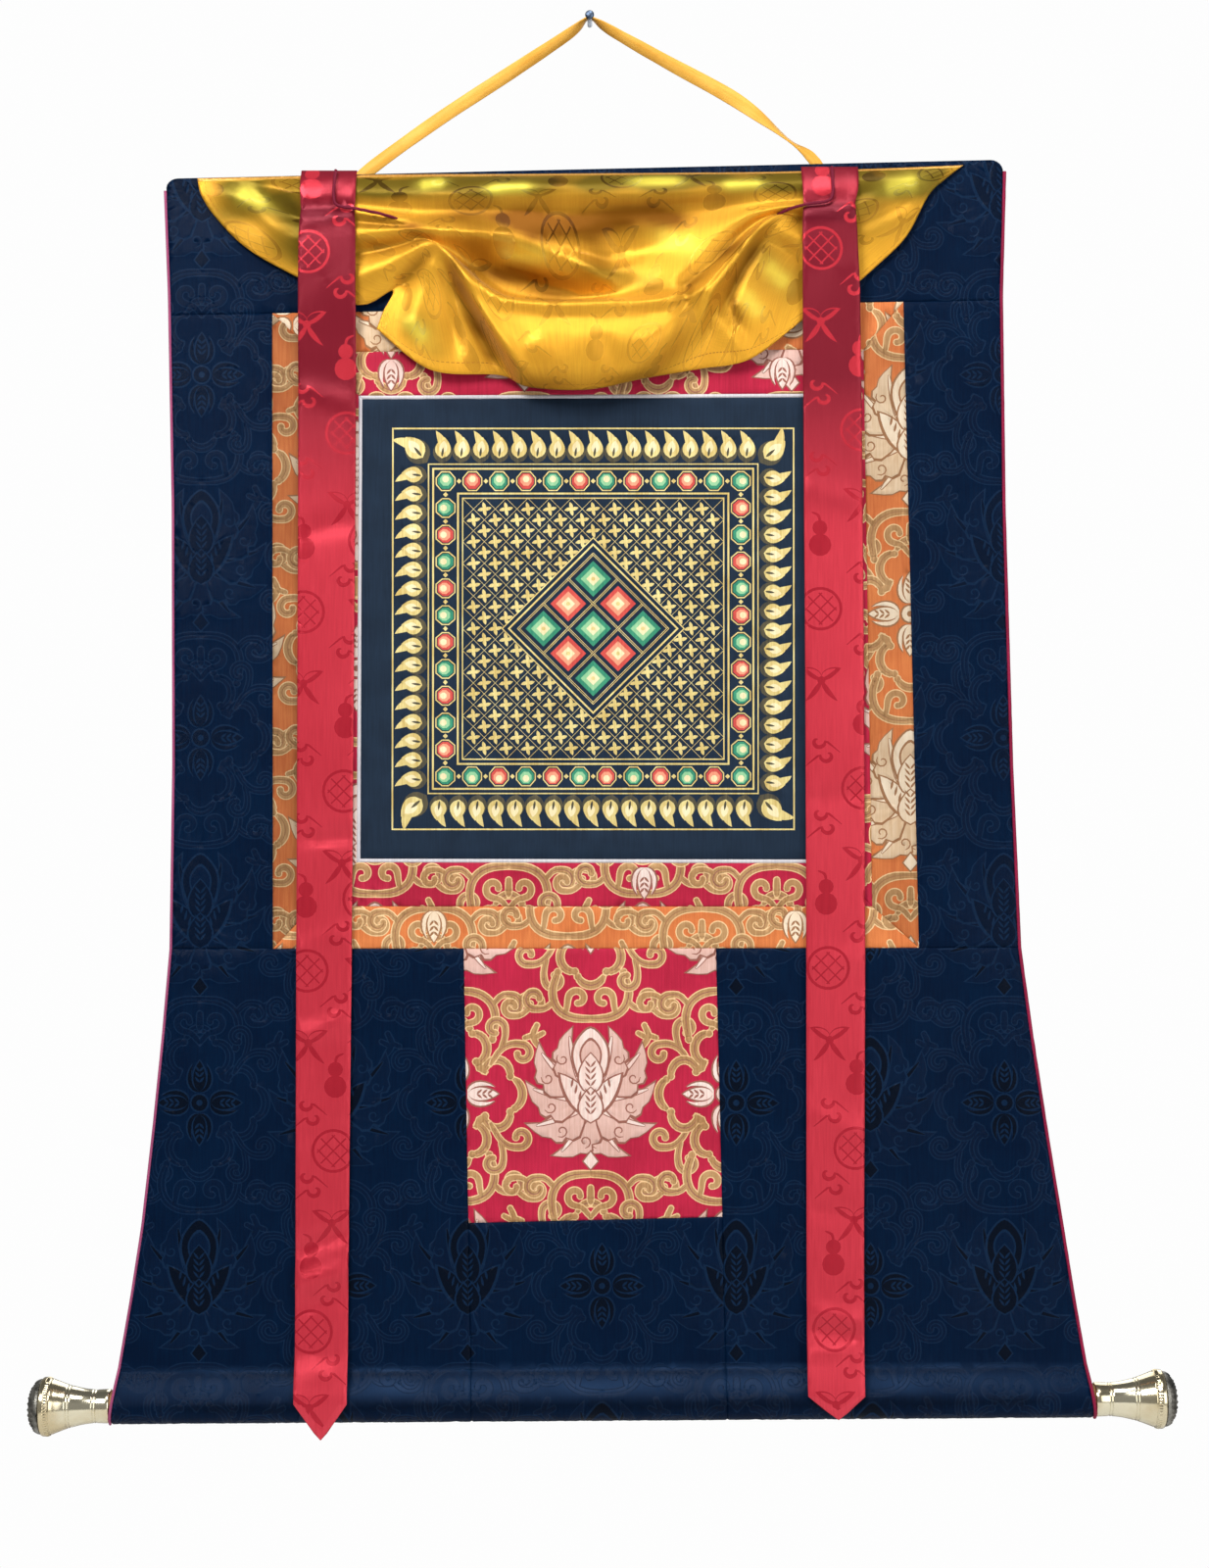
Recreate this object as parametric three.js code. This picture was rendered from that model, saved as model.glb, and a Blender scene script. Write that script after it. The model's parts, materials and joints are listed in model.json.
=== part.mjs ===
// A thangka scroll painting hanging on its nail. Millimetres, +Z up, the painted face towards -Y.
// The origin is the nail's flat inner end, in the plane Y = 0. A depth is a distance in front of that plane.
import * as THREE from "three";

// Thicknesses and clearances
const CLOTH = 1.4;
const SILK = 1.2;
const GAP = 0.3;
const HALF_SEAM = GAP / 2;

// The hanging sheet leans from its top hem to the rod, with one shallow wave across it
const TOP_Z = -92;
const TOP_DEPTH = 6;
const ROD_DEPTH = 19;
const WAVE = { height: 1.0, length: 92, phase: 0.7 };
const HEM = { height: 11, backing: 2.4, cornerRadius: 8 };

// The rod in its sleeve, lower on the left than on the right
const ROD = { radius: 9.5, inSocket: 21.5, sides: 24 };
const ROD_ENDS = { leftX: -309, leftZ: -889.6, rightX: 325.5, rightZ: -885.2 };
const SLEEVE = { innerRadius: 9.9, stitchAbove: 21.8, openEnd: 3 };

// How finely each cloth is divided
const HEAD_GRID = { columns: 12, rows: 8, crowding: 1.7 };
const SIDE_GRID = { columns: 3, rows: 14 };
const FOOT_GRID = { outerColumns: 4, centreColumns: 3, sheetRows: 8, flankRows: 2, arcRows: 12 };
const FOOT_ROWS = FOOT_GRID.sheetRows + 2 * FOOT_GRID.flankRows + FOOT_GRID.arcRows;
const STRIP_PIECES = 8;
const PAINTING_GRID = { columns: 8, rows: 6 };
const DOOR_GRID = { columns: 6, rows: 4 };
const VEIL_GRID = { columns: 34, rows: 21 };
const STRAP_GRID = { columns: 2, rowsPerStep: 3 };
const TAPE_ROWS_PER_STEP = 5;

// Side edges of the navy cloth: nearly upright to the painting's foot, then flaring
const EDGES = [
  { z: -92, left: -274.0, right: 267.0 },
  { z: -176, left: -270.6, right: 264.6 },
  { z: -313, left: -267.8, right: 266.0 },
  { z: -479, left: -267.0, right: 270.4 },
  { z: -597, left: -268.4, right: 275.3 },
  { z: -651, left: -273.0, right: 282.6 },
  { z: -710, left: -278.8, right: 291.5 },
  { z: -775, left: -286.0, right: 302.0 },
  { z: -821, left: -293.0, right: 309.3 },
  { z: -871, left: -301.5, right: 318.0 },
  { z: -905, left: -306.5, right: 323.5 },
];
const TOP_EDGE = [
  { x: -274, z: -100.8 },
  { x: -127, z: -94.5 },
  { x: 140, z: -93 },
  { x: 267, z: -88.2 },
];

// Corners of the nested cloth fields, as they hang
const ORANGE_OUTER = quad([-204.8, -188], [202.2, -180.6], [211.4, -596.5], [-203.5, -597.2]);
const RED_OUTER = quad([-177.7, -213], [176.4, -211.4], [181.4, -570], [-177.7, -570]);
const RED_INNER = quad([-149, -241.2], [152, -240], [154.5, -542.3], [-149.8, -541.8]);
const DOOR = quad([-80.9, -597.2], [81, -596.8], [85, -768.6], [-77.7, -772.6]);
const EDGING = 2.4;

// The veil as nine folds from its seam to its hem. Each fold crosses nine stations from the left side
// hem to the right one; x and z lie in the hanging plane, and out is the distance off the navy cloth.
const VEIL_FOLDS = [
  {
    fold: "seam",
    x: [-253, -181, -111, -52, 2, 59, 118, 178, 241],
    z: [-101, -99, -97.5, -96.5, -96, -95.5, -95, -94, -92.5],
    out: [0.4, 0.4, 0.4, 0.4, 0.4, 0.4, 0.4, 0.4, 0.4],
  },
  {
    fold: "top roll",
    x: [-250, -179, -112, -52, 2, 59, 118, 176, 229],
    z: [-113, -111, -111, -109, -108.5, -108, -106.5, -104.5, -102],
    out: [2, 6, 8, 9, 9, 9, 8, 6, 2],
  },
  {
    fold: "crease",
    x: [-239, -175, -112, -52, 2, 59, 118, 173, 218],
    z: [-129, -122, -124, -121, -123.5, -122, -117, -115, -113],
    out: [2.5, 3.5, 7, 4, 4, 4.5, 7, 3.5, 2.5],
  },
  {
    fold: "rim",
    x: [-219, -162, -108, -50, 4, 57, 117, 164, 204],
    z: [-148, -136, -136, -145, -160, -145, -123.5, -125, -139],
    out: [3, 8.5, 13, 16, 17, 12, 12, 8.5, 3],
  },
  {
    fold: "pocket",
    x: [-187, -141, -104, -53, 3, 55, 116, 150, 185],
    z: [-166, -149, -142.5, -174.5, -179, -167, -127.5, -134, -158],
    out: [3, 4, 8, 5, 8, 17, 8, 4, 3],
  },
  {
    fold: "lip",
    x: [-149, -122, -98, -57, 2.5, 54, 114, 134, 163],
    z: [-183.5, -162, -148, -182, -185.5, -184, -132, -142, -177],
    out: [3, 8, 14, 22, 24, 22, 14, 8, 3],
  },
  {
    fold: "belly",
    x: [-127, -108, -86, -52, 1, 46.5, 94.5, 120, 153],
    z: [-174, -169, -170, -205, -208, -205, -152.5, -152.5, -183],
    out: [3, 6, 15, 26, 29, 26, 15, 6, 3],
  },
  {
    fold: "under",
    x: [-133, -105, -72, -45, 0, 41.5, 84, 109, 145],
    z: [-188, -196.5, -198.5, -223.5, -227, -223, -186, -188, -188.5],
    out: [4, 7, 9, 24, 26, 21, 10, 8, 4],
  },
  {
    fold: "hem",
    x: [-137, -102, -58, -39, -1, 36.5, 71, 103, 136],
    z: [-199, -226, -229, -238, -240, -232, -225, -219, -194],
    out: [4, 8, 5, 14, 16, 12, 5, 7, 4],
  },
];

// The streamers: out is the distance of the back off the navy cloth. They swell over the veil and the sleeve.
const STRAP_TIP = 2;
const STRAP_LEFT = [
  { z: -96, x: -167.9, width: 35.9, out: 0.4 },
  { z: -104, x: -167.9, width: 35.9, out: 7.6 },
  { z: -113, x: -167.8, width: 35.6, out: 10.5 },
  { z: -123, x: -167.8, width: 34.5, out: 11.0 },
  { z: -140, x: -168, width: 36.5, out: 13.0 },
  { z: -172, x: -168.3, width: 36.8, out: 11.5 },
  { z: -215, x: -168.6, width: 37.2, out: 6.0 },
  { z: -240, x: -168.8, width: 37.2, out: 3.4 },
  { z: -400, x: -169.4, width: 36.5, out: 3.0 },
  { z: -600, x: -170.2, width: 35.6, out: 3.0 },
  { z: -780, x: -171, width: 34, out: 3.0 },
  { z: -855, x: -171.2, width: 33.8, out: 4.5 },
  { z: -874, x: -171.2, width: 34, out: 10.5 },
  { z: -885, x: -171, width: 33.8, out: 13.4 },
  { z: -908, x: -170.7, width: STRAP_TIP, out: 13.0 },
];
const STRAP_RIGHT = [
  { z: -94, x: 154.4, width: 36.5, out: 2.2 },
  { z: -102, x: 154.4, width: 36.5, out: 7.6 },
  { z: -111, x: 154.2, width: 35.5, out: 11.5 },
  { z: -119, x: 153.4, width: 33.2, out: 12.8 },
  { z: -136, x: 153.6, width: 35, out: 13.6 },
  { z: -172, x: 154.6, width: 36.6, out: 11.5 },
  { z: -215, x: 155.4, width: 37.4, out: 6.0 },
  { z: -240, x: 156, width: 37.6, out: 3.4 },
  { z: -400, x: 157, width: 37.8, out: 3.0 },
  { z: -600, x: 157.5, width: 37.8, out: 3.0 },
  { z: -780, x: 157, width: 36.8, out: 3.2 },
  { z: -850, x: 157, width: 36.6, out: 5.0 },
  { z: -868, x: 156.8, width: 36.4, out: 10.5 },
  { z: -880, x: 156.9, width: 36.2, out: 13.4 },
  { z: -895, x: 158.1, width: STRAP_TIP, out: 13.2 },
];

// The gold tape: a turn of 90 degrees stands it on edge, as it lies on the nail
const TAPE = [
  { x: -152, z: -107, depth: 1.6, width: 8.5, turn: 0 },
  { x: -145, z: -96, depth: 1.6, width: 8.5, turn: 0 },
  { x: -100, z: -63.5, depth: 3, width: 8.8, turn: 0 },
  { x: -52, z: -33, depth: 6, width: 8.6, turn: 18 },
  { x: -14, z: -8.4, depth: 8, width: 7.4, turn: 62 },
  { x: -2.3, z: 1.5, depth: 8, width: 7, turn: 90 },
  { x: 0, z: 2.8, depth: 8, width: 7, turn: 90 },
  { x: 2.3, z: 1.5, depth: 8, width: 7, turn: 90 },
  { x: 15, z: -6.6, depth: 8, width: 7.4, turn: 66 },
  { x: 50, z: -26, depth: 7, width: 8.6, turn: 25 },
  { x: 95, z: -50.5, depth: 5.5, width: 9.6, turn: 0 },
  { x: 128, z: -75.5, depth: 5, width: 8.4, turn: -68 },
  { x: 142, z: -85, depth: 2.2, width: 7.6, turn: -20 },
  { x: 149, z: -94, depth: 1.6, width: 8, turn: 0 },
  { x: 156, z: -105, depth: 1.6, width: 8, turn: 0 },
];

// The veil's ties: down the streamer's face, then across to the gather
const TIE = { radius: 1, sides: 8, steps: 18 };
const TIE_LEFT = [
  { x: -163.2, z: -97, out: 6.2 },
  { x: -163.4, z: -106, out: 12.0 },
  { x: -163.6, z: -116, out: 13.6 },
  { x: -161, z: -121.5, out: 14.0 },
  { x: -148, z: -124, out: 14.6 },
  { x: -130, z: -128, out: 15.4 },
  { x: -111, z: -133, out: 16.2 },
];
const TIE_RIGHT = [
  { x: 155.6, z: -95, out: 6.4 },
  { x: 155.6, z: -104, out: 12.2 },
  { x: 155.4, z: -114, out: 14.8 },
  { x: 152, z: -119, out: 15.6 },
  { x: 140, z: -121, out: 15.8 },
  { x: 128, z: -124, out: 16.0 },
  { x: 117, z: -128, out: 16.4 },
];

// The bindings down the side edges
const BINDING = { leftRadius: 0.9, rightRadius: 1.1, clear: 0.5, sides: 8, upperRows: 14, offFold: 0.6 };

// Turned metal: radius against distance from the neck's end
const KNOB_SIDES = 24;
const KNOB = [
  { radius: 0, at: 22 },
  { radius: 9.8, at: 22 },
  { radius: 9.8, at: 0 },
  { radius: 10.7, at: 0 },
  { radius: 10.5, at: 7 },
  { radius: 11.2, at: 14 },
  { radius: 12.5, at: 20 },
  { radius: 14.2, at: 26 },
  { radius: 16.4, at: 32 },
  { radius: 18.4, at: 37.5 },
  { radius: 18.5, at: 40 },
  { radius: 17.2, at: 41 },
  { radius: 0, at: 41 },
];
const KNOB_CAP = [
  { radius: 0, at: 41.3 },
  { radius: 17.4, at: 41.3 },
  { radius: 16.8, at: 43.6 },
  { radius: 13.6, at: 46.4 },
  { radius: 8, at: 48.6 },
  { radius: 0, at: 49.5 },
];
const NAIL_SIDES = 16;
const NAIL = [
  { radius: 0, at: 0 },
  { radius: 1.6, at: 0 },
  { radius: 1.6, at: 21.4 },
  { radius: 2.9, at: 21.8 },
  { radius: 2.9, at: 22.8 },
  { radius: 2.2, at: 23.4 },
  { radius: 0, at: 23.4 },
];

const COLOURS = {
  navy: { color: 0x0b1f3a, roughness: 0.6, metalness: 0 },
  orange: { color: 0xc9784a, roughness: 0.6, metalness: 0 },
  red: { color: 0xb02846, roughness: 0.6, metalness: 0 },
  white: { color: 0xd6d2d6, roughness: 0.7, metalness: 0 },
  canvas: { color: 0x182a42, roughness: 0.7, metalness: 0 },
  gold: { color: 0xdba638, roughness: 0.4, metalness: 0 },
  crimson: { color: 0xc03a50, roughness: 0.4, metalness: 0 },
  cord: { color: 0x7a1a34, roughness: 0.7, metalness: 0 },
  binding: { color: 0x9a2850, roughness: 0.6, metalness: 0 },
  wood: { color: 0xa07a4c, roughness: 0.7, metalness: 0 },
  brass: { color: 0xd8cba8, roughness: 0.25, metalness: 1 },
  silver: { color: 0x8a8a84, roughness: 0.4, metalness: 1 },
  steel: { color: 0x8c9096, roughness: 0.4, metalness: 1 },
};

// Small sums
function field(topLeft, topRight, bottomRight, bottomLeft) {
  return { topLeft, topRight, bottomRight, bottomLeft };
}

function quad(...corners) {
  return field(...corners.map(([x, z]) => ({ x, z })));
}

function mix(a, b, share) {
  return a + (b - a) * share;
}

function mixPoint(a, b, share) {
  return { x: mix(a.x, b.x, share), z: mix(a.z, b.z, share) };
}

// A smooth curve through evenly spaced values, at a share from 0 to 1 of its length
function through(values, share) {
  const last = values.length - 1;
  const place = Math.min(Math.max(share, 0), 1) * last;
  const i = Math.min(Math.floor(place), last - 1);
  const t = place - i;
  const before = values[Math.max(i - 1, 0)];
  const after = values[Math.min(i + 2, last)];
  const startSlope = (values[i + 1] - before) / 2;
  const endSlope = (after - values[i]) / 2;
  const rise = values[i + 1] - values[i];
  return values[i] + startSlope * t + (3 * rise - 2 * startSlope - endSlope) * t * t
    + (startSlope + endSlope - 2 * rise) * t * t * t;
}

// Straight steps between the rows of a table sorted by one column
function lookUp(rows, by, column, value) {
  const rising = rows[1][by] > rows[0][by];
  let i = 0;
  while (i < rows.length - 2 && (rising ? value > rows[i + 1][by] : value < rows[i + 1][by])) {
    i += 1;
  }
  const share = (value - rows[i][by]) / (rows[i + 1][by] - rows[i][by]);
  return mix(rows[i][column], rows[i + 1][column], share);
}

// A smooth value of one column at a share of the table's rows
function column(rows, name, share) {
  return through(rows.map((row) => row[name]), share);
}

function lineX(a, b, z) {
  return mix(a.x, b.x, (z - a.z) / (b.z - a.z));
}

function lineZ(a, b, x) {
  return mix(a.z, b.z, (x - a.x) / (b.x - a.x));
}

// Each side of a field moved inwards by the same distance
function inset(quarters, distance) {
  const names = ["topLeft", "topRight", "bottomRight", "bottomLeft"];
  const corners = names.map((name) => new THREE.Vector2(quarters[name].x, quarters[name].z));
  const sides = corners.map((from, i) => {
    const to = corners[(i + 1) % 4];
    const along = to.clone().sub(from).normalize();
    const inward = new THREE.Vector2(along.y, -along.x).multiplyScalar(distance);
    return { start: from.clone().add(inward), along };
  });
  const moved = names.map((name, i) => {
    const a = sides[(i + 3) % 4];
    const b = sides[i];
    const offset = b.start.clone().sub(a.start);
    const reach = offset.cross(b.along) / a.along.cross(b.along);
    const point = a.start.clone().addScaledVector(a.along, reach);
    return [point.x, point.y];
  });
  return quad(...moved);
}

// The hanging surface
function edgeX(side, z) {
  return lookUp(EDGES, "z", side, z);
}

function topZ(x) {
  return lookUp(TOP_EDGE, "x", "z", x);
}

function upperSeamZ(x) {
  return lineZ(ORANGE_OUTER.topLeft, ORANGE_OUTER.topRight, x);
}

function lowerSeamZ(x) {
  return lineZ(ORANGE_OUTER.bottomLeft, ORANGE_OUTER.bottomRight, x);
}

function rodZ(x) {
  return mix(ROD_ENDS.leftZ, ROD_ENDS.rightZ, (x - ROD_ENDS.leftX) / (ROD_ENDS.rightX - ROD_ENDS.leftX));
}

function stitchZ(x) {
  return rodZ(x) + SLEEVE.stitchAbove;
}

function clothDepth(x, z) {
  const share = (TOP_Z - z) / (TOP_Z - stitchZ(x));
  const inside = Math.min(Math.max(share, 0), 1);
  const wave = WAVE.height * Math.sin(Math.PI * inside) * Math.sin(x / WAVE.length + WAVE.phase);
  return mix(TOP_DEPTH, ROD_DEPTH, inside) + wave;
}

function frontDepth(x, z) {
  return clothDepth(x, z) + CLOTH / 2;
}

function point(x, depth, z) {
  return new THREE.Vector3(x, -depth, z);
}

// A closed sheet: place(across, down, front) gives each point, with all three from 0 to 1
function sheet(columns, rows, place) {
  const geometry = new THREE.BoxGeometry(1, 1, 1, columns, rows, 1);
  const positions = geometry.getAttribute("position");
  for (let i = 0; i < positions.count; i += 1) {
    const across = positions.getX(i) + 0.5;
    const down = 0.5 - positions.getY(i);
    const front = positions.getZ(i) + 0.5;
    const spot = place(across, down, front);
    positions.setXYZ(i, spot.x, spot.y, spot.z);
  }
  geometry.computeVertexNormals();
  return geometry;
}

// A round cord through hand-placed points
function cord(points, radius, sides, steps) {
  const section = new THREE.Shape().absarc(0, 0, radius, 0, 2 * Math.PI, false);
  return new THREE.ExtrudeGeometry(section, {
    steps,
    curveSegments: sides / 2,
    bevelEnabled: false,
    extrudePath: new THREE.CatmullRomCurve3(points),
  });
}

// A turned piece round the Z axis, its profile given outwards along the axis
function turned(profile, sides) {
  const points = profile.map((row) => new THREE.Vector2(row.radius, row.at));
  const inOrder = THREE.ShapeUtils.area(points) > 0 ? points : points.reverse();
  return new THREE.LatheGeometry(inOrder, sides);
}

// A flat field of cloth between four corners
function patch(quarters, grid) {
  const cut = inset(quarters, HALF_SEAM);
  return sheet(grid.columns, grid.rows, (across, down, front) => {
    const left = mixPoint(cut.topLeft, cut.bottomLeft, down);
    const right = mixPoint(cut.topRight, cut.bottomRight, down);
    const spot = mixPoint(left, right, across);
    return point(spot.x, clothDepth(spot.x, spot.z) + (front - 0.5) * CLOTH, spot.z);
  });
}

// One of the four mitred strips between an outer and an inner field
function strip(outer, inner, side) {
  const strips = {
    top: field(outer.topLeft, outer.topRight, inner.topRight, inner.topLeft),
    bottom: field(inner.bottomLeft, inner.bottomRight, outer.bottomRight, outer.bottomLeft),
    left: field(outer.topLeft, inner.topLeft, inner.bottomLeft, outer.bottomLeft),
    right: field(inner.topRight, outer.topRight, outer.bottomRight, inner.bottomRight),
  };
  const upright = side === "left" || side === "right";
  return patch(strips[side], { columns: upright ? 1 : STRIP_PIECES, rows: upright ? STRIP_PIECES : 1 });
}

// The head panel, with rounded top corners and a hem that is thicker behind
function headPanel() {
  const sideX = (side, share) => {
    const corner = edgeX(side, TOP_Z);
    return edgeX(side, mix(topZ(corner), upperSeamZ(corner), share));
  };
  return sheet(HEAD_GRID.columns, HEAD_GRID.rows, (across, down, front) => {
    const share = down ** HEAD_GRID.crowding;
    const below = share * (TOP_Z - upperSeamZ(0));
    const short = Math.max(HEM.cornerRadius - below, 0);
    const round = HEM.cornerRadius - Math.sqrt(HEM.cornerRadius ** 2 - short ** 2);
    const x = mix(sideX("left", share) + round, sideX("right", share) - round, across);
    const z = mix(topZ(x), upperSeamZ(x) + HALF_SEAM, share);
    const backing = below < HEM.height ? HEM.backing : 0;
    return point(x, clothDepth(x, z) + (front - 0.5) * CLOTH - (1 - front) * backing, z);
  });
}

function sidePanel(side) {
  const onLeft = side === "left";
  const upper = onLeft ? ORANGE_OUTER.topLeft : ORANGE_OUTER.topRight;
  const lower = onLeft ? ORANGE_OUTER.bottomLeft : ORANGE_OUTER.bottomRight;
  return sheet(SIDE_GRID.columns, SIDE_GRID.rows, (across, down, front) => {
    const corner = edgeX(side, upper.z);
    const outer = edgeX(side, mix(upperSeamZ(corner), lowerSeamZ(corner), down));
    const inner = mix(upper.x, lower.x, down) + (onLeft ? -HALF_SEAM : HALF_SEAM);
    const x = onLeft ? mix(outer, inner, across) : mix(inner, outer, across);
    const z = mix(upperSeamZ(x) - HALF_SEAM, lowerSeamZ(x) + HALF_SEAM, down);
    return point(x, clothDepth(x, z) + (front - 0.5) * CLOTH, z);
  });
}

// The path of a foot panel at one x: down the sheet to the stitch line, then round the rod and up behind
function footPath(x, upperZ, row) {
  const radius = SLEEVE.innerRadius + CLOTH / 2;
  const lean = Math.asin(radius / SLEEVE.stitchAbove);
  const flank = Math.sqrt(SLEEVE.stitchAbove ** 2 - radius ** 2);
  const apex = stitchZ(x);
  const arcStart = FOOT_GRID.sheetRows + FOOT_GRID.flankRows;
  const arcEnd = arcStart + FOOT_GRID.arcRows;
  if (row < FOOT_GRID.sheetRows) {
    const z = mix(upperZ, apex, row / FOOT_GRID.sheetRows);
    return { depth: clothDepth(x, z), z, normal: { depth: 1, z: 0 } };
  }
  if (row <= arcStart) {
    const run = flank * (row - FOOT_GRID.sheetRows) / FOOT_GRID.flankRows;
    const normal = { depth: Math.cos(lean), z: Math.sin(lean) };
    return { depth: ROD_DEPTH + run * Math.sin(lean), z: apex - run * Math.cos(lean), normal };
  }
  if (row <= arcEnd) {
    const turn = lean - (Math.PI + 2 * lean) * (row - arcStart) / FOOT_GRID.arcRows;
    const normal = { depth: Math.cos(turn), z: Math.sin(turn) };
    return { depth: ROD_DEPTH + radius * normal.depth, z: rodZ(x) + radius * normal.z, normal };
  }
  const run = flank - (flank - SLEEVE.openEnd) * (row - arcEnd) / FOOT_GRID.flankRows;
  const normal = { depth: -Math.cos(lean), z: Math.sin(lean) };
  return { depth: ROD_DEPTH - run * Math.sin(lean), z: apex - run * Math.cos(lean), normal };
}

function footPanel(columns, leftAt, rightAt, upperAt) {
  return sheet(columns, FOOT_ROWS, (across, down, front) => {
    const row = Math.round(down * FOOT_ROWS);
    const level = footPath(0, upperAt(0), row).z;
    const x = mix(leftAt(level), rightAt(level), across);
    const path = footPath(x, upperAt(x) - HALF_SEAM, row);
    const off = (front - 0.5) * CLOTH;
    return point(x, path.depth + off * path.normal.depth, path.z + off * path.normal.z);
  });
}

function footPanels() {
  const doorLeft = (z) => lineX(DOOR.topLeft, DOOR.bottomLeft, z);
  const doorRight = (z) => lineX(DOOR.topRight, DOOR.bottomRight, z);
  const doorFoot = (x) => lineZ(DOOR.bottomLeft, DOOR.bottomRight, x);
  const left = (z) => edgeX("left", z);
  const right = (z) => edgeX("right", z);
  return {
    left: footPanel(FOOT_GRID.outerColumns, left, (z) => doorLeft(z) - HALF_SEAM, lowerSeamZ),
    centre: footPanel(
      FOOT_GRID.centreColumns,
      (z) => doorLeft(z) + HALF_SEAM,
      (z) => doorRight(z) - HALF_SEAM,
      doorFoot,
    ),
    right: footPanel(FOOT_GRID.outerColumns, (z) => doorRight(z) + HALF_SEAM, right, lowerSeamZ),
  };
}

// A value of the veil's table, smooth across its stations and down its folds
function veilValue(name, across, down) {
  return through(VEIL_FOLDS.map((fold) => through(fold[name], across)), down);
}

function veil() {
  return sheet(VEIL_GRID.columns, VEIL_GRID.rows, (across, down, front) => {
    const x = veilValue("x", across, down);
    const z = veilValue("z", across, down);
    const out = Math.max(veilValue("out", across, down), GAP);
    return point(x, frontDepth(x, z) + out + front * SILK, z);
  });
}

function strap(rows) {
  const count = (rows.length - 1) * STRAP_GRID.rowsPerStep;
  return sheet(STRAP_GRID.columns, count, (across, down, front) => {
    const z = lookUp(rows.map((row, i) => ({ ...row, i })), "i", "z", down * (rows.length - 1));
    const width = lookUp(rows, "z", "width", z);
    const x = column(rows, "x", down) + (across - 0.5) * width;
    const out = column(rows, "out", down);
    return point(x, frontDepth(x, z) + out + front * SILK, z);
  });
}

// The tape turns about its own line as it goes
function hangingRibbon() {
  const count = (TAPE.length - 1) * TAPE_ROWS_PER_STEP;
  const value = (name, share) => column(TAPE, name, share);
  const spot = (share) => point(value("x", share), value("depth", share), value("z", share));
  return sheet(1, count, (across, down, front) => {
    const step = 0.5 / count;
    const along = spot(down + step).sub(spot(down - step)).normalize();
    const flat = along.clone().cross(new THREE.Vector3(0, 1, 0)).normalize();
    const turn = THREE.MathUtils.degToRad(value("turn", down));
    const wide = flat.applyAxisAngle(along, turn);
    const thick = wide.clone().cross(along);
    const width = value("width", down);
    const aside = wide.multiplyScalar((across - 0.5) * width);
    return spot(down).add(aside).addScaledVector(thick, (0.5 - front) * SILK);
  });
}

function tie(rows) {
  const points = rows.map((row) => point(row.x, frontDepth(row.x, row.z) + row.out, row.z));
  return cord(points, TIE.radius, TIE.sides, TIE.steps);
}

// The binding keeps to the edge of the cloth from under the top corner, down and round the sleeve
function bindingPath(side, away, row) {
  const corner = edgeX(side, TOP_Z);
  const startZ = topZ(corner) - HEM.cornerRadius;
  const lowerZ = lowerSeamZ(corner);
  const footRow = row - BINDING.upperRows;
  if (footRow < 0) {
    const z = mix(startZ, lowerZ, row / BINDING.upperRows);
    const x = edgeX(side, z);
    return { spot: point(x + away, clothDepth(x, z), z), out: point(0, 1, 0) };
  }
  const x = edgeX(side, footPath(0, lowerZ, footRow).z);
  const path = footPath(x, lowerZ, footRow);
  const out = point(0, path.normal.depth, path.normal.z);
  const spot = point(x + away, path.depth, path.z);
  return { spot: footRow > FOOT_GRID.sheetRows ? spot.addScaledVector(out, BINDING.offFold) : spot, out };
}

function edgeBinding(side, radius) {
  const away = (side === "left" ? -1 : 1) * (BINDING.clear + radius);
  const rows = BINDING.upperRows + FOOT_ROWS;
  const geometry = new THREE.CylinderGeometry(radius, radius, 1, BINDING.sides, rows);
  const positions = geometry.getAttribute("position");
  for (let i = 0; i < positions.count; i += 1) {
    const { spot, out } = bindingPath(side, away, Math.round((0.5 - positions.getY(i)) * rows));
    spot.addScaledVector(out, positions.getZ(i));
    positions.setXYZ(i, spot.x + positions.getX(i), spot.y, spot.z);
  }
  return geometry;
}

// Meshes and their places
const group = new THREE.Group();

function add(name, finish, geometry) {
  const mesh = new THREE.Mesh(geometry, new THREE.MeshStandardMaterial(COLOURS[finish]));
  mesh.name = name;
  group.add(mesh);
  return mesh;
}

function addTextiles() {
  const edgingInner = inset(RED_INNER, EDGING);
  const feet = footPanels();
  add("navy_top", "navy", headPanel());
  add("navy_left", "navy", sidePanel("left"));
  add("navy_right", "navy", sidePanel("right"));
  add("navy_lower_left", "navy", feet.left);
  add("navy_lower_centre", "navy", feet.centre);
  add("navy_lower_right", "navy", feet.right);
  for (const side of ["top", "bottom", "left", "right"]) {
    add(`orange_border_${side}`, "orange", strip(ORANGE_OUTER, RED_OUTER, side));
    add(`red_border_${side}`, "red", strip(RED_OUTER, RED_INNER, side));
    add(`white_edging_${side}`, "white", strip(RED_INNER, edgingInner, side));
  }
  add("painting", "canvas", patch(edgingInner, PAINTING_GRID));
  add("door_panel", "red", patch(DOOR, DOOR_GRID));
  add("veil", "gold", veil());
  add("strap_left", "crimson", strap(STRAP_LEFT));
  add("strap_right", "crimson", strap(STRAP_RIGHT));
  add("veil_tie_left", "cord", tie(TIE_LEFT));
  add("veil_tie_right", "cord", tie(TIE_RIGHT));
  add("edge_binding_left", "binding", edgeBinding("left", BINDING.leftRadius));
  add("edge_binding_right", "binding", edgeBinding("right", BINDING.rightRadius));
  add("hanging_ribbon", "gold", hangingRibbon());
}

// The rod's own line, from its left knob to its right one
function rodLine() {
  const left = point(ROD_ENDS.leftX, ROD_DEPTH, ROD_ENDS.leftZ);
  const right = point(ROD_ENDS.rightX, ROD_DEPTH, ROD_ENDS.rightZ);
  return { left, right, along: right.clone().sub(left).normalize() };
}

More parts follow.
